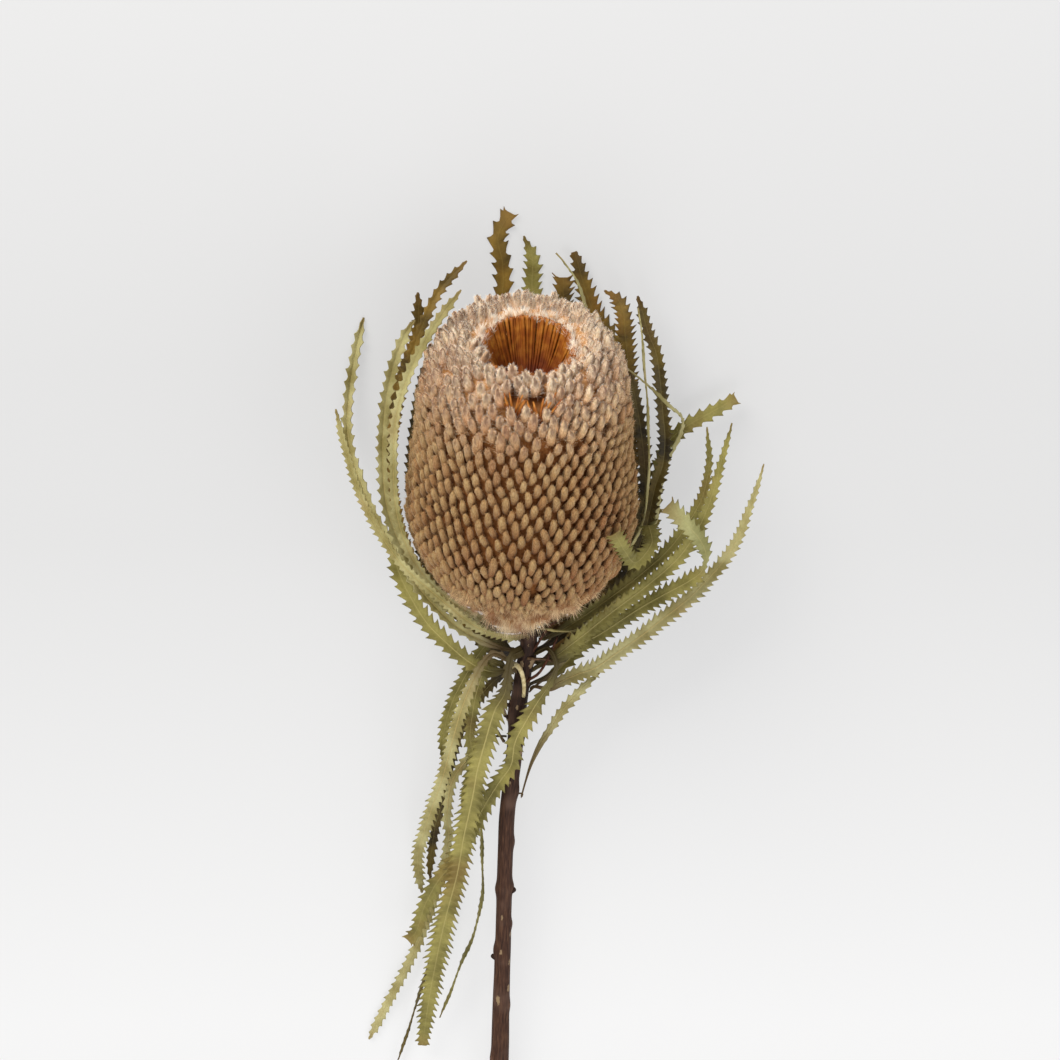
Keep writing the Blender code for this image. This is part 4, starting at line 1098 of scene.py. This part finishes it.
# Each leaf: at is its distance below the head and its angle round the stem (0 faces the viewer,
# 90 is right). Its route is (across, up, height) in mm, half its half width, turn its twist in
# degrees from base to tip if it has one, fold how far its halves stand up, tip how far it
# narrows, and pitch the mm between its teeth.
leaves = [
    dict(name="leaf_left_front", at=(12, -14), half=2.7, turn=(-45, -12), tone="pale", fold=30,
         pitch=2.8, tip=0.3, slimFrom=0.6, stalk=0.06, petiole=1.1, route=[
        (-7, -12.6, 43.5), (-19, -8.8, 51), (-36, 4.4, 60), (-51, 18.4, 61), (-65, 42, 54),
        (-73, 67, 45), (-75.6, 78.4, 41)]),
    dict(name="leaf_left_inner", at=(9, -52), half=3.1, turn=(-15, -15), tone="pale", fold=36,
         tip=0.1, slimFrom=0.9, route=[
        (-18, -5, 44), (-35, 6, 52), (-46, 20.8, 57), (-51.5, 38.4, 59), (-52.5, 58, 59.5),
        (-51.4, 76, 59), (-45.6, 94, 58), (-36.4, 111, 56), (-25.5, 126, 53)]),
    dict(name="leaf_left_side", at=(15, -78), half=3.7, tone="pale", fold=36, pitch=4.4,
         tip=0.2, slimFrom=0.85, route=[
        (-12, -12, 38), (-34, 2, 44), (-47.8, 20.8, 47), (-53.8, 34, 48), (-56.4, 47.6, 48),
        (-56.6, 72.4, 48), (-53, 94, 48), (-47.4, 109.2, 48), (-44, 114, 48)]),
    dict(name="leaf_left_long", at=(22, -62), half=3.7, tone="pale", fold=44, pitch=5.0,
         tip=0.1, slimFrom=0.85, route=[
        (-9, -17.5, 34), (-17, -14.4, 36), (-27, -8.8, 38), (-34.5, -2, 38.5), (-42.5, 7, 37.5),
        (-49, 17.5, 35), (-60, 35, 27), (-66, 50, 20), (-70, 62, 14), (-71, 76, 8),
        (-68.5, 97, 3), (-64.5, 115, 0.8)]),
    dict(name="leaf_left_low", at=(30, -85), half=4.6, tone="olive", fold=16,
         tip=0.2, route=[
        (-14, -26.5, 31), (-22, -23, 31), (-33, -13.6, 29.5), (-39.5, -6.8, 27), (-46, 3.6, 23),
        (-50, 12, 20), (-54, 24, 17)]),
    dict(name="leaf_left_shoulder", at=(11, -100), half=3.0, tone="brown", fold=20,
         tip=0.2, route=[
        (-14, -9, 26), (-32, 2, 20), (-45, 18, 19), (-52, 40, 21), (-53.5, 60, 25),
        (-51, 79, 29), (-46.5, 97, 33), (-40, 114, 34), (-34, 126, 32), (-23.2, 137.6, 29)]),
    dict(name="leaf_left_shoulder_back", at=(15, -122), half=3.4, tone="brown",
         fold=12, tip=0.1, route=[
        (-13, -14, 20), (-31, 0, 12), (-46, 19, 9), (-54, 45, 9), (-54, 70, 11), (-50, 90, 14),
        (-44.5, 104, 17), (-42.6, 112, 18), (-42.8, 125, 20)]),
    dict(name="leaf_left_under", at=(23, -140), half=3.0, tone="dark", fold=10,
         tip=0.3, route=[
        (-12, -19, 14), (-28, -3, 5), (-39, 15, 1.8), (-44.4, 35, 1), (-45.4, 58, 0.8),
        (-43, 80, 0.8), (-39.6, 99, 1.2)]),
    dict(name="leaf_down_broad", at=(19, -36), half=5.8, tone="olive", fold=8,
         tip=0.45, stalk=0.15, petiole=2.2, end=0.55, toothedFrom=0.03, pitch=3.5, route=[
        (-5.5, -21, 39.5), (-8, -35, 39.5), (-12, -42, 38.5), (-16, -55, 37.5),
        (-19, -66, 36.5), (-21, -77, 35), (-24.4, -92.4, 33), (-27.2, -108, 30),
        (-31.2, -123, 26), (-34, -135, 22.5), (-37, -150, 17), (-39, -161.6, 13), (-41, -176, 8)]),
    dict(name="leaf_down_pale", at=(29, -52), half=3.6, tone="pale", fold=12,
         tip=0.3, stalk=0.24, petiole=1.7, toothedFrom=0.05, pitch=3.4, route=[
        (-7.5, -21.5, 36), (-12.5, -19.5, 36.5), (-17, -23.5, 36), (-21, -31, 35.2),
        (-24.8, -40, 34), (-27.6, -49, 32.5),
        (-30.4, -60, 30), (-33.6, -71.2, 27), (-37.2, -81.2, 23.5), (-40.4, -91.2, 19.5),
        (-42.8, -100.4, 15), (-42, -110.8, 11), (-41.2, -115, 9.5)]),
    dict(name="leaf_down_inner", at=(36, -72), half=3.4, tone="olive", fold=12,
         tip=0.3, stalk=0.22, petiole=1.7, toothedFrom=0.05, pitch=3.4, route=[
        (-8, -25.5, 29.5), (-12.5, -23, 29.5), (-16.5, -27, 28.5), (-19.4, -35, 27.2),
        (-21, -44, 26), (-22, -53, 25),
        (-20.4, -62, 24), (-22, -68, 22.5), (-25.2, -81, 19)]),
    dict(name="leaf_down_dark", at=(25, -102), half=3.4, tone="olive", fold=12,
         tip=0.4, stalk=0.24, petiole=1.7, toothedFrom=0.05, pitch=3.4, route=[
        (-9.5, -15.5, 27), (-14.5, -15.5, 26), (-19, -20.5, 24), (-23.6, -28, 21.5),
        (-27.8, -36, 19), (-30.8, -44, 16.5), (-32.4, -52, 14.3), (-33.2, -62, 12)]),
    dict(name="leaf_down_under", at=(32, -125), half=3.0, tone="dark", fold=8,
         tip=0.4, route=[
        (-14, -32, 17), (-24, -46, 10), (-29, -60, 7.5), (-32, -74, 6), (-34.5, -84, 4.5),
        (-36, -89, 3.5), (-38, -105, 1.8), (-38, -110, 1.5)]),
    dict(name="leaf_down_ribbon", at=(43, -90), half=2.6, tone="pale", fold=6,
         tip=0.0, route=[
        (-12, -47, 23), (-20, -58, 19), (-28.8, -70, 15), (-31.2, -85, 12), (-30.4, -92.4, 11),
        (-34, -110, 9), (-41.2, -131.6, 6), (-48.8, -147.6, 4), (-57.2, -163.6, 2),
        (-62.4, -173.6, 1.2)]),
    dict(name="leaf_down_crossing", at=(20, 62), half=4.6, turn=(-50, 0), tone="olive", fold=12,
         tip=0.2, stalk=0.2, end=0.8, petiole=1.2, toothedFrom=0.1, pitch=4.2, route=[
        (9.5, -17.5, 37), (12.4, -24, 38.5), (10, -31, 38.5), (5.2, -38.4, 37.5), (0.4, -46.4, 36),
        (-4, -55, 34.5), (-5.6, -64, 32.3), (-10.4, -71, 29.5), (-17.2, -82, 27),
        (-22, -92, 25), (-30.4, -104.8, 23), (-35.6, -111.6, 21), (-40.4, -121, 19),
        (-43.6, -130.8, 16), (-46.8, -134, 15)]),
    dict(name="leaf_down_edge", at=(62, -90), half=2.2, turn=(75, 75), tone="olive", fold=4,
         tip=0.45, route=[
        (-13.5, -53, 27), (-16.6, -58, 25.6), (-17.6, -70, 23), (-17.8, -84, 19.5),
        (-17.2, -100, 16), (-17.2, -116, 13),
        (-20.4, -131, 10.5), (-25.2, -142.4, 8), (-29.6, -154, 6), (-34, -165, 4)]),
    dict(name="leaf_down_thin", at=(42, -138), half=1.8, turn=(70, 70), tone="dark", fold=4,
         tip=0.45, route=[
        (-13, -48, 15), (-16, -58, 11), (-20, -72, 8), (-24, -90, 6), (-28, -108, 5),
        (-33, -128, 4.2), (-38, -142, 4), (-43.6, -160, 3.2), (-50, -180, 2.4), (-52, -185, 2.4)]),
    dict(name="leaf_right_long", at=(37, 84), half=4.4, tone="pale", fold=16,
         tip=0.85, slimFrom=0.5, end=0.2, pitch=3.0, route=[
        (9.6, -33.5, 30), (14, -30.8, 31.5), (21.2, -27.6, 33.5), (28, -25.2, 35.5),
        (37.2, -18.8, 37.5), (46.4, -12.4, 39), (54, -6.4, 38.5), (64.8, 2, 37.5), (74, 11.2, 37),
        (80, 18.4, 37), (85.6, 27.6, 37), (88.8, 36, 36), (92.4, 46, 35), (95.6, 56.4, 33)]),
    dict(name="leaf_right_hooked", at=(25, 95), half=4.4, tone="olive", fold=8,
         tip=0.0, paleFrom=0.7, pinch=(0.73, 0.7), end=0.8, pitch=3.2, route=[
        (11.2, -22.8, 28), (20, -17, 29), (30, -11.6, 31), (46, -1.2, 36), (56, 4.4, 41),
        (65, 9.2, 44.5), (70.6, 13.5, 47), (72.4, 20, 50), (70, 26, 53), (66, 30.8, 54.5),
        (57.2, 40, 55.5)]),
    dict(name="leaf_right_middle", at=(29, 68), half=4.1, tone="olive", fold=14,
         tip=0.8, slimFrom=0.55, end=0.2, pitch=3.2, route=[
        (10, -22, 34.5), (20.8, -14, 38), (34.8, -2.8, 41), (49.6, 8.4, 43), (62, 19.6, 43.5),
        (70, 32, 43), (74.8, 44, 42), (78.8, 58, 41), (82.8, 72.8, 39)]),
    dict(name="leaf_right_upper", at=(15, 92), half=3.8, tone="olive", fold=14,
         tip=0.8, slimFrom=0.55, end=0.2, pitch=3.2, route=[
        (8, -13.5, 31.5), (18, -8, 31), (30, 0, 32), (46, 12, 34), (58, 22.8, 35), (66, 34, 35),
        (71.2, 44, 35), (73.6, 58, 35), (72.8, 71.2, 35)]),
    dict(name="leaf_right_curl", at=(9, 92), half=4.0, tone="olive", stalk=0.5,
         fold=5, tip=0.0, end=0.8, pitch=3.0, route=[
        (12, -7, 28), (26, -1, 26), (38, 7, 26), (46, 16, 26.5), (50, 23, 29), (50.5, 29, 34),
        (49.5, 31.5, 41), (50.8, 25.6, 48), (48.4, 20.8, 54), (44, 17, 61), (40, 21.5, 70),
        (36, 28.5, 78)]),
    dict(name="leaf_right_low", at=(88, 90), half=2.6, turn=(30, 0), tone="pale", stalk=0.62,
         fold=8, tip=0.3, petiole=0.26, route=[
        (-1.6, -77, 25), (2, -64.8, 27.5), (6, -56, 28.5), (10.4, -49.2, 29), (15.2, -42, 29.5),
        (21.2, -35.2, 29.5), (25.6, -30.8, 29.5), (30, -26.8, 29.5)]),
    dict(name="leaf_right_sliver", at=(9, 58), half=1.4, turn=(70, 70), tone="pale", fold=0,
         tip=0.45, route=[
        (8, -9.6, 36), (14, -10.4, 35.2), (21.2, -10, 34.6), (25.6, -6.8, 34.6),
        (31.6, -2.4, 34.8), (38, 4, 35.2)]),
    dict(name="leaf_right_behind", at=(22, 122), half=3.8, tone="dark", fold=16,
         tip=0.3, route=[
        (12, -14, 23), (26, 2, 15.4), (38, 16, 13), (44.5, 29, 13), (47.5, 41, 13.5),
        (48, 53, 15), (46, 72, 18), (43, 88, 22), (41.6, 94, 24)]),
    dict(name="leaf_right_tall", at=(31, 114), half=4.2, tone="dark", fold=30, pitch=3.2,
         tip=0.3, route=[
        (12, -21, 25), (28, -4, 22), (42, 15, 20), (48, 30, 20.5), (50, 38, 21.5),
        (52, 47, 22.5), (55, 56, 23.5), (56, 66, 24), (55, 78, 23.5), (54, 90.4, 22),
        (52.4, 101, 20), (49.4, 108.4, 18), (47, 117.2, 16), (45, 123.6, 14)]),
    dict(name="leaf_right_edge", at=(6, 112), half=1.6, turn=(75, 75), tone="pale", fold=2,
         tip=0.6, route=[
        (13, -3, 26), (26, 5, 22.5), (39, 18, 25), (47, 33, 31), (49.4, 50, 35), (49.4, 72, 36),
        (48, 93, 37), (46.4, 111, 36), (45.2, 118.8, 35)]),
    dict(name="leaf_right_thread", at=(40, 108), half=1.7, turn=(60, 60), tone="pale", fold=2,
         tip=0.45, route=[
        (12, -26, 23), (30, -6, 16.5), (44, 14, 15.5), (52, 31, 16.5), (54, 46, 17), (57.5, 58, 17.5),
        (62, 68, 19), (62.8, 75, 24), (57, 80.5, 29.5), (49, 88, 31.5), (43, 93, 32.5),
        (40, 95, 33)]),
    dict(name="leaf_right_spur", at=(39, 138), half=4.0, tone="olive", fold=14,
         tip=0.1, end=0.75, pitch=4.6, route=[
        (12, -27, 17), (30, -7, 8), (44, 13, 5), (50, 31, 4.5), (53, 50, 5.5), (57, 64.5, 7.2),
        (63, 70.4, 8.2), (70, 74.6, 8.5), (78, 79, 8.3), (84.5, 82.6, 8)]),
    dict(name="leaf_top_left", at=(12, -155), half=4.6, tone="brown", fold=5,
         tip=0.1, end=0.8, pitch=5.3, route=[
        (-8, -6, 17), (-16, 8, 6), (-21, 22, 1.6), (-22.6, 42, 0.9), (-20, 68, 0.8),
        (-14, 98, 0.8), (-9, 124, 0.8), (-9, 137, 0.8), (-10.8, 147, 0.8), (-6, 157, 0.8)]),
    dict(name="leaf_top_middle", at=(7, 162), half=4.8, tone="olive", fold=5,
         tip=0.6, end=0.2, slimFrom=0.88, pitch=3.6, route=[
        (6, -3, 15), (16, 12, 4), (21.6, 26, 1), (22.8, 44, 0.9), (18, 72, 0.8),
        (9, 104, 0.8), (3, 126, 0.8), (3, 138, 1), (-0.4, 147.6, 1.6)]),
    dict(name="leaf_top_blunt", at=(16, 168), half=4.8, tone="brown", fold=4,
         tip=0.0, end=0.95, pitch=3.0, route=[
        (9, -9, 12), (22, 9, 3.6), (30, 26, 2.6), (32, 46, 2.6), (28, 78, 2.6),
        (21, 106, 2.8), (15.6, 121, 3.2), (15.4, 131, 3.6)]),
    dict(name="leaf_top_thread", at=(23, 176), half=1.5, turn=(60, 60), tone="pale", fold=0,
         tip=0.45, route=[
        (9, -15, 14), (26, 5, 7), (36, 24, 6), (38, 46, 6), (33.5, 80, 6), (27, 108, 6.5),
        (21.5, 128, 7), (15.6, 137.2, 8), (12.4, 140.8, 8)]),
    dict(name="leaf_top_forked", at=(29, 158), half=5.0, tone="brown", fold=6,
         tip=0.6, slimFrom=0.88, end=0.5, pitch=3.8, route=[
        (11, -20, 12), (25, 0, 5), (38, 21, 2.8), (42, 46, 1.2), (39.5, 80, 1),
        (34, 106, 1.5), (27.4, 117, 2), (23.2, 129, 2.4), (21, 137, 3.2), (19.6, 141.2, 4)]),
    dict(name="leaf_top_right", at=(16, 142), half=4.6, tone="brown", fold=6,
         tip=0.5, slimFrom=0.88, end=0.2, pitch=3.0, route=[
        (12, -11, 18), (27, 3, 13), (38, 22, 10), (41.5, 46, 9), (42, 74, 9), (41, 98, 11),
        (40, 108.4, 13), (39.4, 116, 14.5), (36.8, 122.4, 16), (31.8, 125.8, 17)]),
]


leafTones = {
    "pale": {"deep": "#857B49", "light": "#ACA574", "edge": "#5E5A30", "rib": "#B39C62",
             "stalk": "#4A3519", "dry": "#93784A", "slot": "leaf_pale"},
    "olive": {"deep": "#655E29", "light": "#8B8345", "edge": "#423B15", "rib": "#AFA268",
              "stalk": "#3A2D10", "dry": "#775A2A", "slot": "leaf_olive"},
    "brown": {"deep": "#4E3D12", "light": "#826728", "edge": "#2C2209", "rib": "#94803F",
              "stalk": "#3A2611", "dry": "#8A5C20", "slot": "leaf_brown"},
    # painted shade: a darker copy of the leaf colours, for leaves that lie in shade under and behind
    # the head
    "dark": {"deep": "#2C2308", "light": "#5A4B1B", "edge": "#1C1506", "rib": "#857845",
             "stalk": "#2A1C0C", "dry": "#4A3212", "slot": "leaf_brown"},
}


def leafMaterial(toneName):
    # A dried banksia leaf: leathery and matt, with a pale raised midrib, a vein to each tooth,
    # darker teeth, and a brown tip and stalk. The UV is in teeth along and half widths across.
    tone = leafTones[toneName]
    material, tree, shader = newMaterial("leatheryLeaf" + toneName.capitalize())
    place = addNode(tree, "TexCoord").outputs["Object"]
    spot = addNode(tree, "SeparateXYZ", {"Vector": addNode(tree, "UVMap", uv_map="blade")})
    out = addNode(tree, "Math", {0: spot.outputs["Y"]}, operation="ABSOLUTE")
    level, under, petiole = [addNode(tree, "Attribute", attribute_name=layer).outputs["Fac"]
                             for layer in ("level", "under", "stalk")]
    # dry patches 10 mm across, and mottling 1 mm across
    broad = addNode(tree, "TexNoise", {"Vector": place, "Scale": 90.0, "Detail": 2.0})
    upper = addNode(tree, "ValToRGB", {"Fac": broad}, stops=[
        (0.36, tone["deep"]), (0.62, tone["light"])])
    turned = addNode(tree, "ValToRGB", {"Fac": broad}, stops=[(0.36, "#7C7A48"), (0.62, "#9C9A68")])
    fine = addNode(tree, "TexNoise", {"Vector": place, "Scale": 1100.0, "Detail": 3.0})
    mottle = addNode(tree, "ValToRGB", {"Fac": fine}, stops=[(0.3, "#CFC8AE"), (0.7, "#FFFFFF")])
    # where it dried first it has gone brown, in patches 20 mm long
    scorched = addNode(tree, "TexNoise", {"Vector": place, "Scale": 48.0, "Detail": 3.0})
    scorch = addNode(tree, "MapRange", {"Value": scorched, "From Min": 0.54, "From Max": 0.7,
                                        "To Max": 0.45})
    # a vein runs obliquely from the midrib to each tooth, and the two sides alternate
    other = addNode(tree, "Math", {0: spot.outputs["Y"], 1: 0.0}, operation="GREATER_THAN")
    shifted = addNode(tree, "Math", {0: other, 1: 0.5, 2: spot.outputs["X"]},
                      operation="MULTIPLY_ADD")
    slanted = addNode(tree, "Math", {0: out, 1: -0.42, 2: shifted}, operation="MULTIPLY_ADD")
    within = addNode(tree, "Math", {0: slanted}, operation="FRACT")
    apart = addNode(tree, "Math", {0: within, 1: 0.13}, operation="SUBTRACT")
    apart = addNode(tree, "Math", {0: apart}, operation="ABSOLUTE")
    vein = addNode(tree, "MapRange", {"Value": apart, "From Min": 0.07, "From Max": 0.015})
    veined = addNode(tree, "Math", {0: vein, 1: 0.12}, operation="MULTIPLY")
    edge = addNode(tree, "MapRange", {"Value": out, "From Min": 0.66, "To Max": 0.8})
    rib = addNode(tree, "MapRange", {"Value": out, "From Min": 0.05, "From Max": 0.02})
    faded = addNode(tree, "MapRange", {"Value": level, "From Min": 0.35, "From Max": 0.95,
                                       "To Min": 0.6, "To Max": 0.15})
    rib = addNode(tree, "Math", {0: rib, 1: faded}, operation="MULTIPLY")
    tip = addNode(tree, "MapRange", {"Value": level, "From Min": 0.96, "To Max": 0.5})
    foot = addNode(tree, "MapRange", {"Value": petiole, "To Max": 0.92})
    raised = addNode(tree, "Math", {0: vein, 1: 0.6, 2: fine}, operation="MULTIPLY_ADD")
    setInputs(shader, {
        "Base Color": paintOver(tree, upper, (under, turned), (scorch, tone["dry"]),
                                (0.4, mottle, "MULTIPLY"), (veined, tone["rib"]),
                                (edge, tone["edge"]), (rib, tone["rib"]), (tip, "#6E5128"),
                                (foot, tone["stalk"])),
        "Normal": addNode(tree, "Bump", {"Height": raised, "Strength": 0.15, "Distance": 0.0002}),
        "Roughness": 0.6, "Specular IOR Level": 0.3})
    return material


def bladeWidth(part, leaf, total):
    # the half width at a part of the length, in mm: a stalk, a long blade, a narrower tip
    half = leaf["half"]
    stalk = leaf.get("stalk", blade["stalk"])
    slimFrom = leaf.get("slimFrom", 0.72)
    if part < stalk:
        petiole = leaf.get("petiole", blade["petiole"])
        return petiole + (half - petiole) * (part / stalk) ** 2.5
    half *= 1 - leaf["tip"] * max(0.0, (part - slimFrom) / (1 - slimFrom)) ** 1.5
    if "pinch" in leaf:
        middle, depth = leaf["pinch"]
        half *= 1 - depth * math.exp(-((part - middle) / 0.05) ** 2)
    if leaf.get("end", blade["endWidth"]) <= blade["endWidth"]:
        half *= 0.3 + 0.7 * smoothStep(0.0, blade["point"], (1 - part) * total)
    return half


def bladeWays(spine, side, turn):
    # the way across the blade and the way out of its face, at each point of its line
    last = len(spine) - 1
    ways = []
    kept = None
    for index in reversed(range(last + 1)):
        way = (spine[min(index + 1, last)] - spine[max(index - 1, 0)]).normalized()
        if index == 0:
            way = side
        across = way.cross(towardsViewer)
        if kept is not None and across.length < blade["leastAcross"]:
            across = kept - way * kept.dot(way)
        kept = across.normalized()
        degrees = turn[1] + (turn[0] - turn[1]) * (1 - smoothStep(0.04, 0.34, index / last))
        turned = Matrix.Rotation(math.radians(degrees), 3, way) @ kept
        ways.append((way, turned, turned.cross(way).normalized()))
    return ways[::-1]


def applyModifiers(piece):
    graph = bpy.context.evaluated_depsgraph_get()
    made = bpy.data.meshes.new_from_object(piece.evaluated_get(graph))
    old = piece.data
    piece.modifiers.clear()
    piece.data = made
    bpy.data.meshes.remove(old)
    made.name = piece.name


def makeLeaf(leaf, number):
    chance = random.Random(blade["seed"] + number)
    middle, radius, side = onStem(*leaf["at"])
    start = middle + side * (radius + blade["clear"] * mm)
    route = [seen(*spot) for spot in leaf["route"]]
    rising = (route[0] - start).dot(headAxis) > 0
    slant = side + headAxis * (blade["stalkSlant"] if rising else 0.0)
    line = smoothThrough([start, start + slant * blade["stalkStart"] * mm] + route)
    total = lengthOf(line)
    teeth = round(total / mm / leaf.get("pitch", blade["toothPitch"]))
    perTooth = blade["rowsPerTooth"]
    rows = teeth * perTooth
    spine = pointsAlong(line, [total * row / rows for row in range(rows + 1)])
    ways = bladeWays(spine, side, leaf.get("turn", (0, 0)))
    sizes = [[chance.uniform(*blade["toothSizes"]) for _ in range(teeth + 2)] for _ in range(2)]
    wave = chance.uniform(0, 2 * math.pi)
    fold = math.tan(math.radians(leaf["fold"]))
    flat = math.cos(math.radians(leaf["fold"]))
    stalk = leaf.get("stalk", blade["stalk"])
    toothedFrom = leaf.get("toothedFrom", stalk)
    paleFrom = leaf.get("paleFrom", 2.0)
    columns = [-c for c in blade["columns"][:0:-1]] + list(blade["columns"])

    bm, level, under, foot = startShape("level", "under", "stalk")
    uvLayer = bm.loops.layers.uv.new("blade")
    bmesh.ops.create_grid(bm, x_segments=rows, y_segments=len(columns) - 1, size=1.0)
    spots = {}
    for vert in bm.verts:
        row = round((vert.co.x + 1) / 2 * rows)
        column = round((vert.co.y + 1) / 2 * (len(columns) - 1))
        share = columns[column]
        hand = 1 if share > 0 else 0
        shifted = row + blade["stagger"] * hand
        part = row / rows
        reach = blade["reach"][shifted % perTooth] * sizes[hand][shifted // perTooth]
        toothed = smoothStep(0.6 * toothedFrom, toothedFrom, part)
        half = bladeWidth(part, leaf, total / mm)
        cut = 1 - toothed * (1 - blade["notch"]) * (1 - reach)
        if row == rows:
            cut = leaf.get("end", blade["endWidth"])
        across = share * half * cut * (1 - toothed * (1 - flat))
        lean = blade["toothLean"] * max(0.0, abs(across) - blade["notch"] * half) * toothed
        way, out, face = ways[row]
        edge = abs(share)
        height = fold * abs(across) * toothed
        height += blade["midrib"] * (1.0 if share == 0 else 0.0) * (1.6 - 0.9 * part)
        height -= blade["curl"] * half * edge ** 4
        lobe = math.sin(math.pi * (shifted % perTooth) / perTooth)
        height += blade["dome"] * toothed * edge * lobe
        swell = math.sin(wave + part * total / mm * blade["waveTurn"] + 2.0 * hand)
        height += blade["wave"] * edge ** 2 * swell * toothed
        vert.co = spine[row] + (out * across + way * lean + face * height) * mm
        vert.co.z = max(vert.co.z, (blade["lowest"] + blade["thickness"] / 2) * mm)
        vert[level] = part
        vert[under] = smoothStep(paleFrom - 0.04, paleFrom + 0.04, part)
        vert[foot] = 1 - smoothStep(0.35 * stalk, 1.15 * stalk + 0.02, part)
        spots[vert] = (row / perTooth, across / half)
    for face in bm.faces:
        for loop in face.loops:
            loop[uvLayer].uv = spots[loop.vert]
    bmesh.ops.recalc_face_normals(bm, faces=bm.faces)
    piece = objectFrom(bm, leaf["name"].replace("leaf", "blade", 1),
                       [bpy.data.materials["leatheryLeaf" + leaf["tone"].capitalize()]])
    solid = piece.modifiers.new("thickness", "SOLIDIFY")
    solid.thickness = blade["thickness"] * mm
    solid.offset = 0
    applyModifiers(piece)
    piece.data.set_sharp_from_angle(angle=math.radians(50))
    settle(piece, leafTones[leaf["tone"]]["slot"], leaf["name"])
    return len(piece.data.polygons)


makeCamera()
makeStudio()
print("studio ready")
makeFlorets()
makeCore()
makePitTubes()
makeGapTubes()
makeTufts()
makeStem()
makeStubs()
makeRemnants()
for toneName in leafTones:
    leafMaterial(toneName)
print("leaves:", sum(makeLeaf(leaf, number) for number, leaf in enumerate(leaves)), "faces")
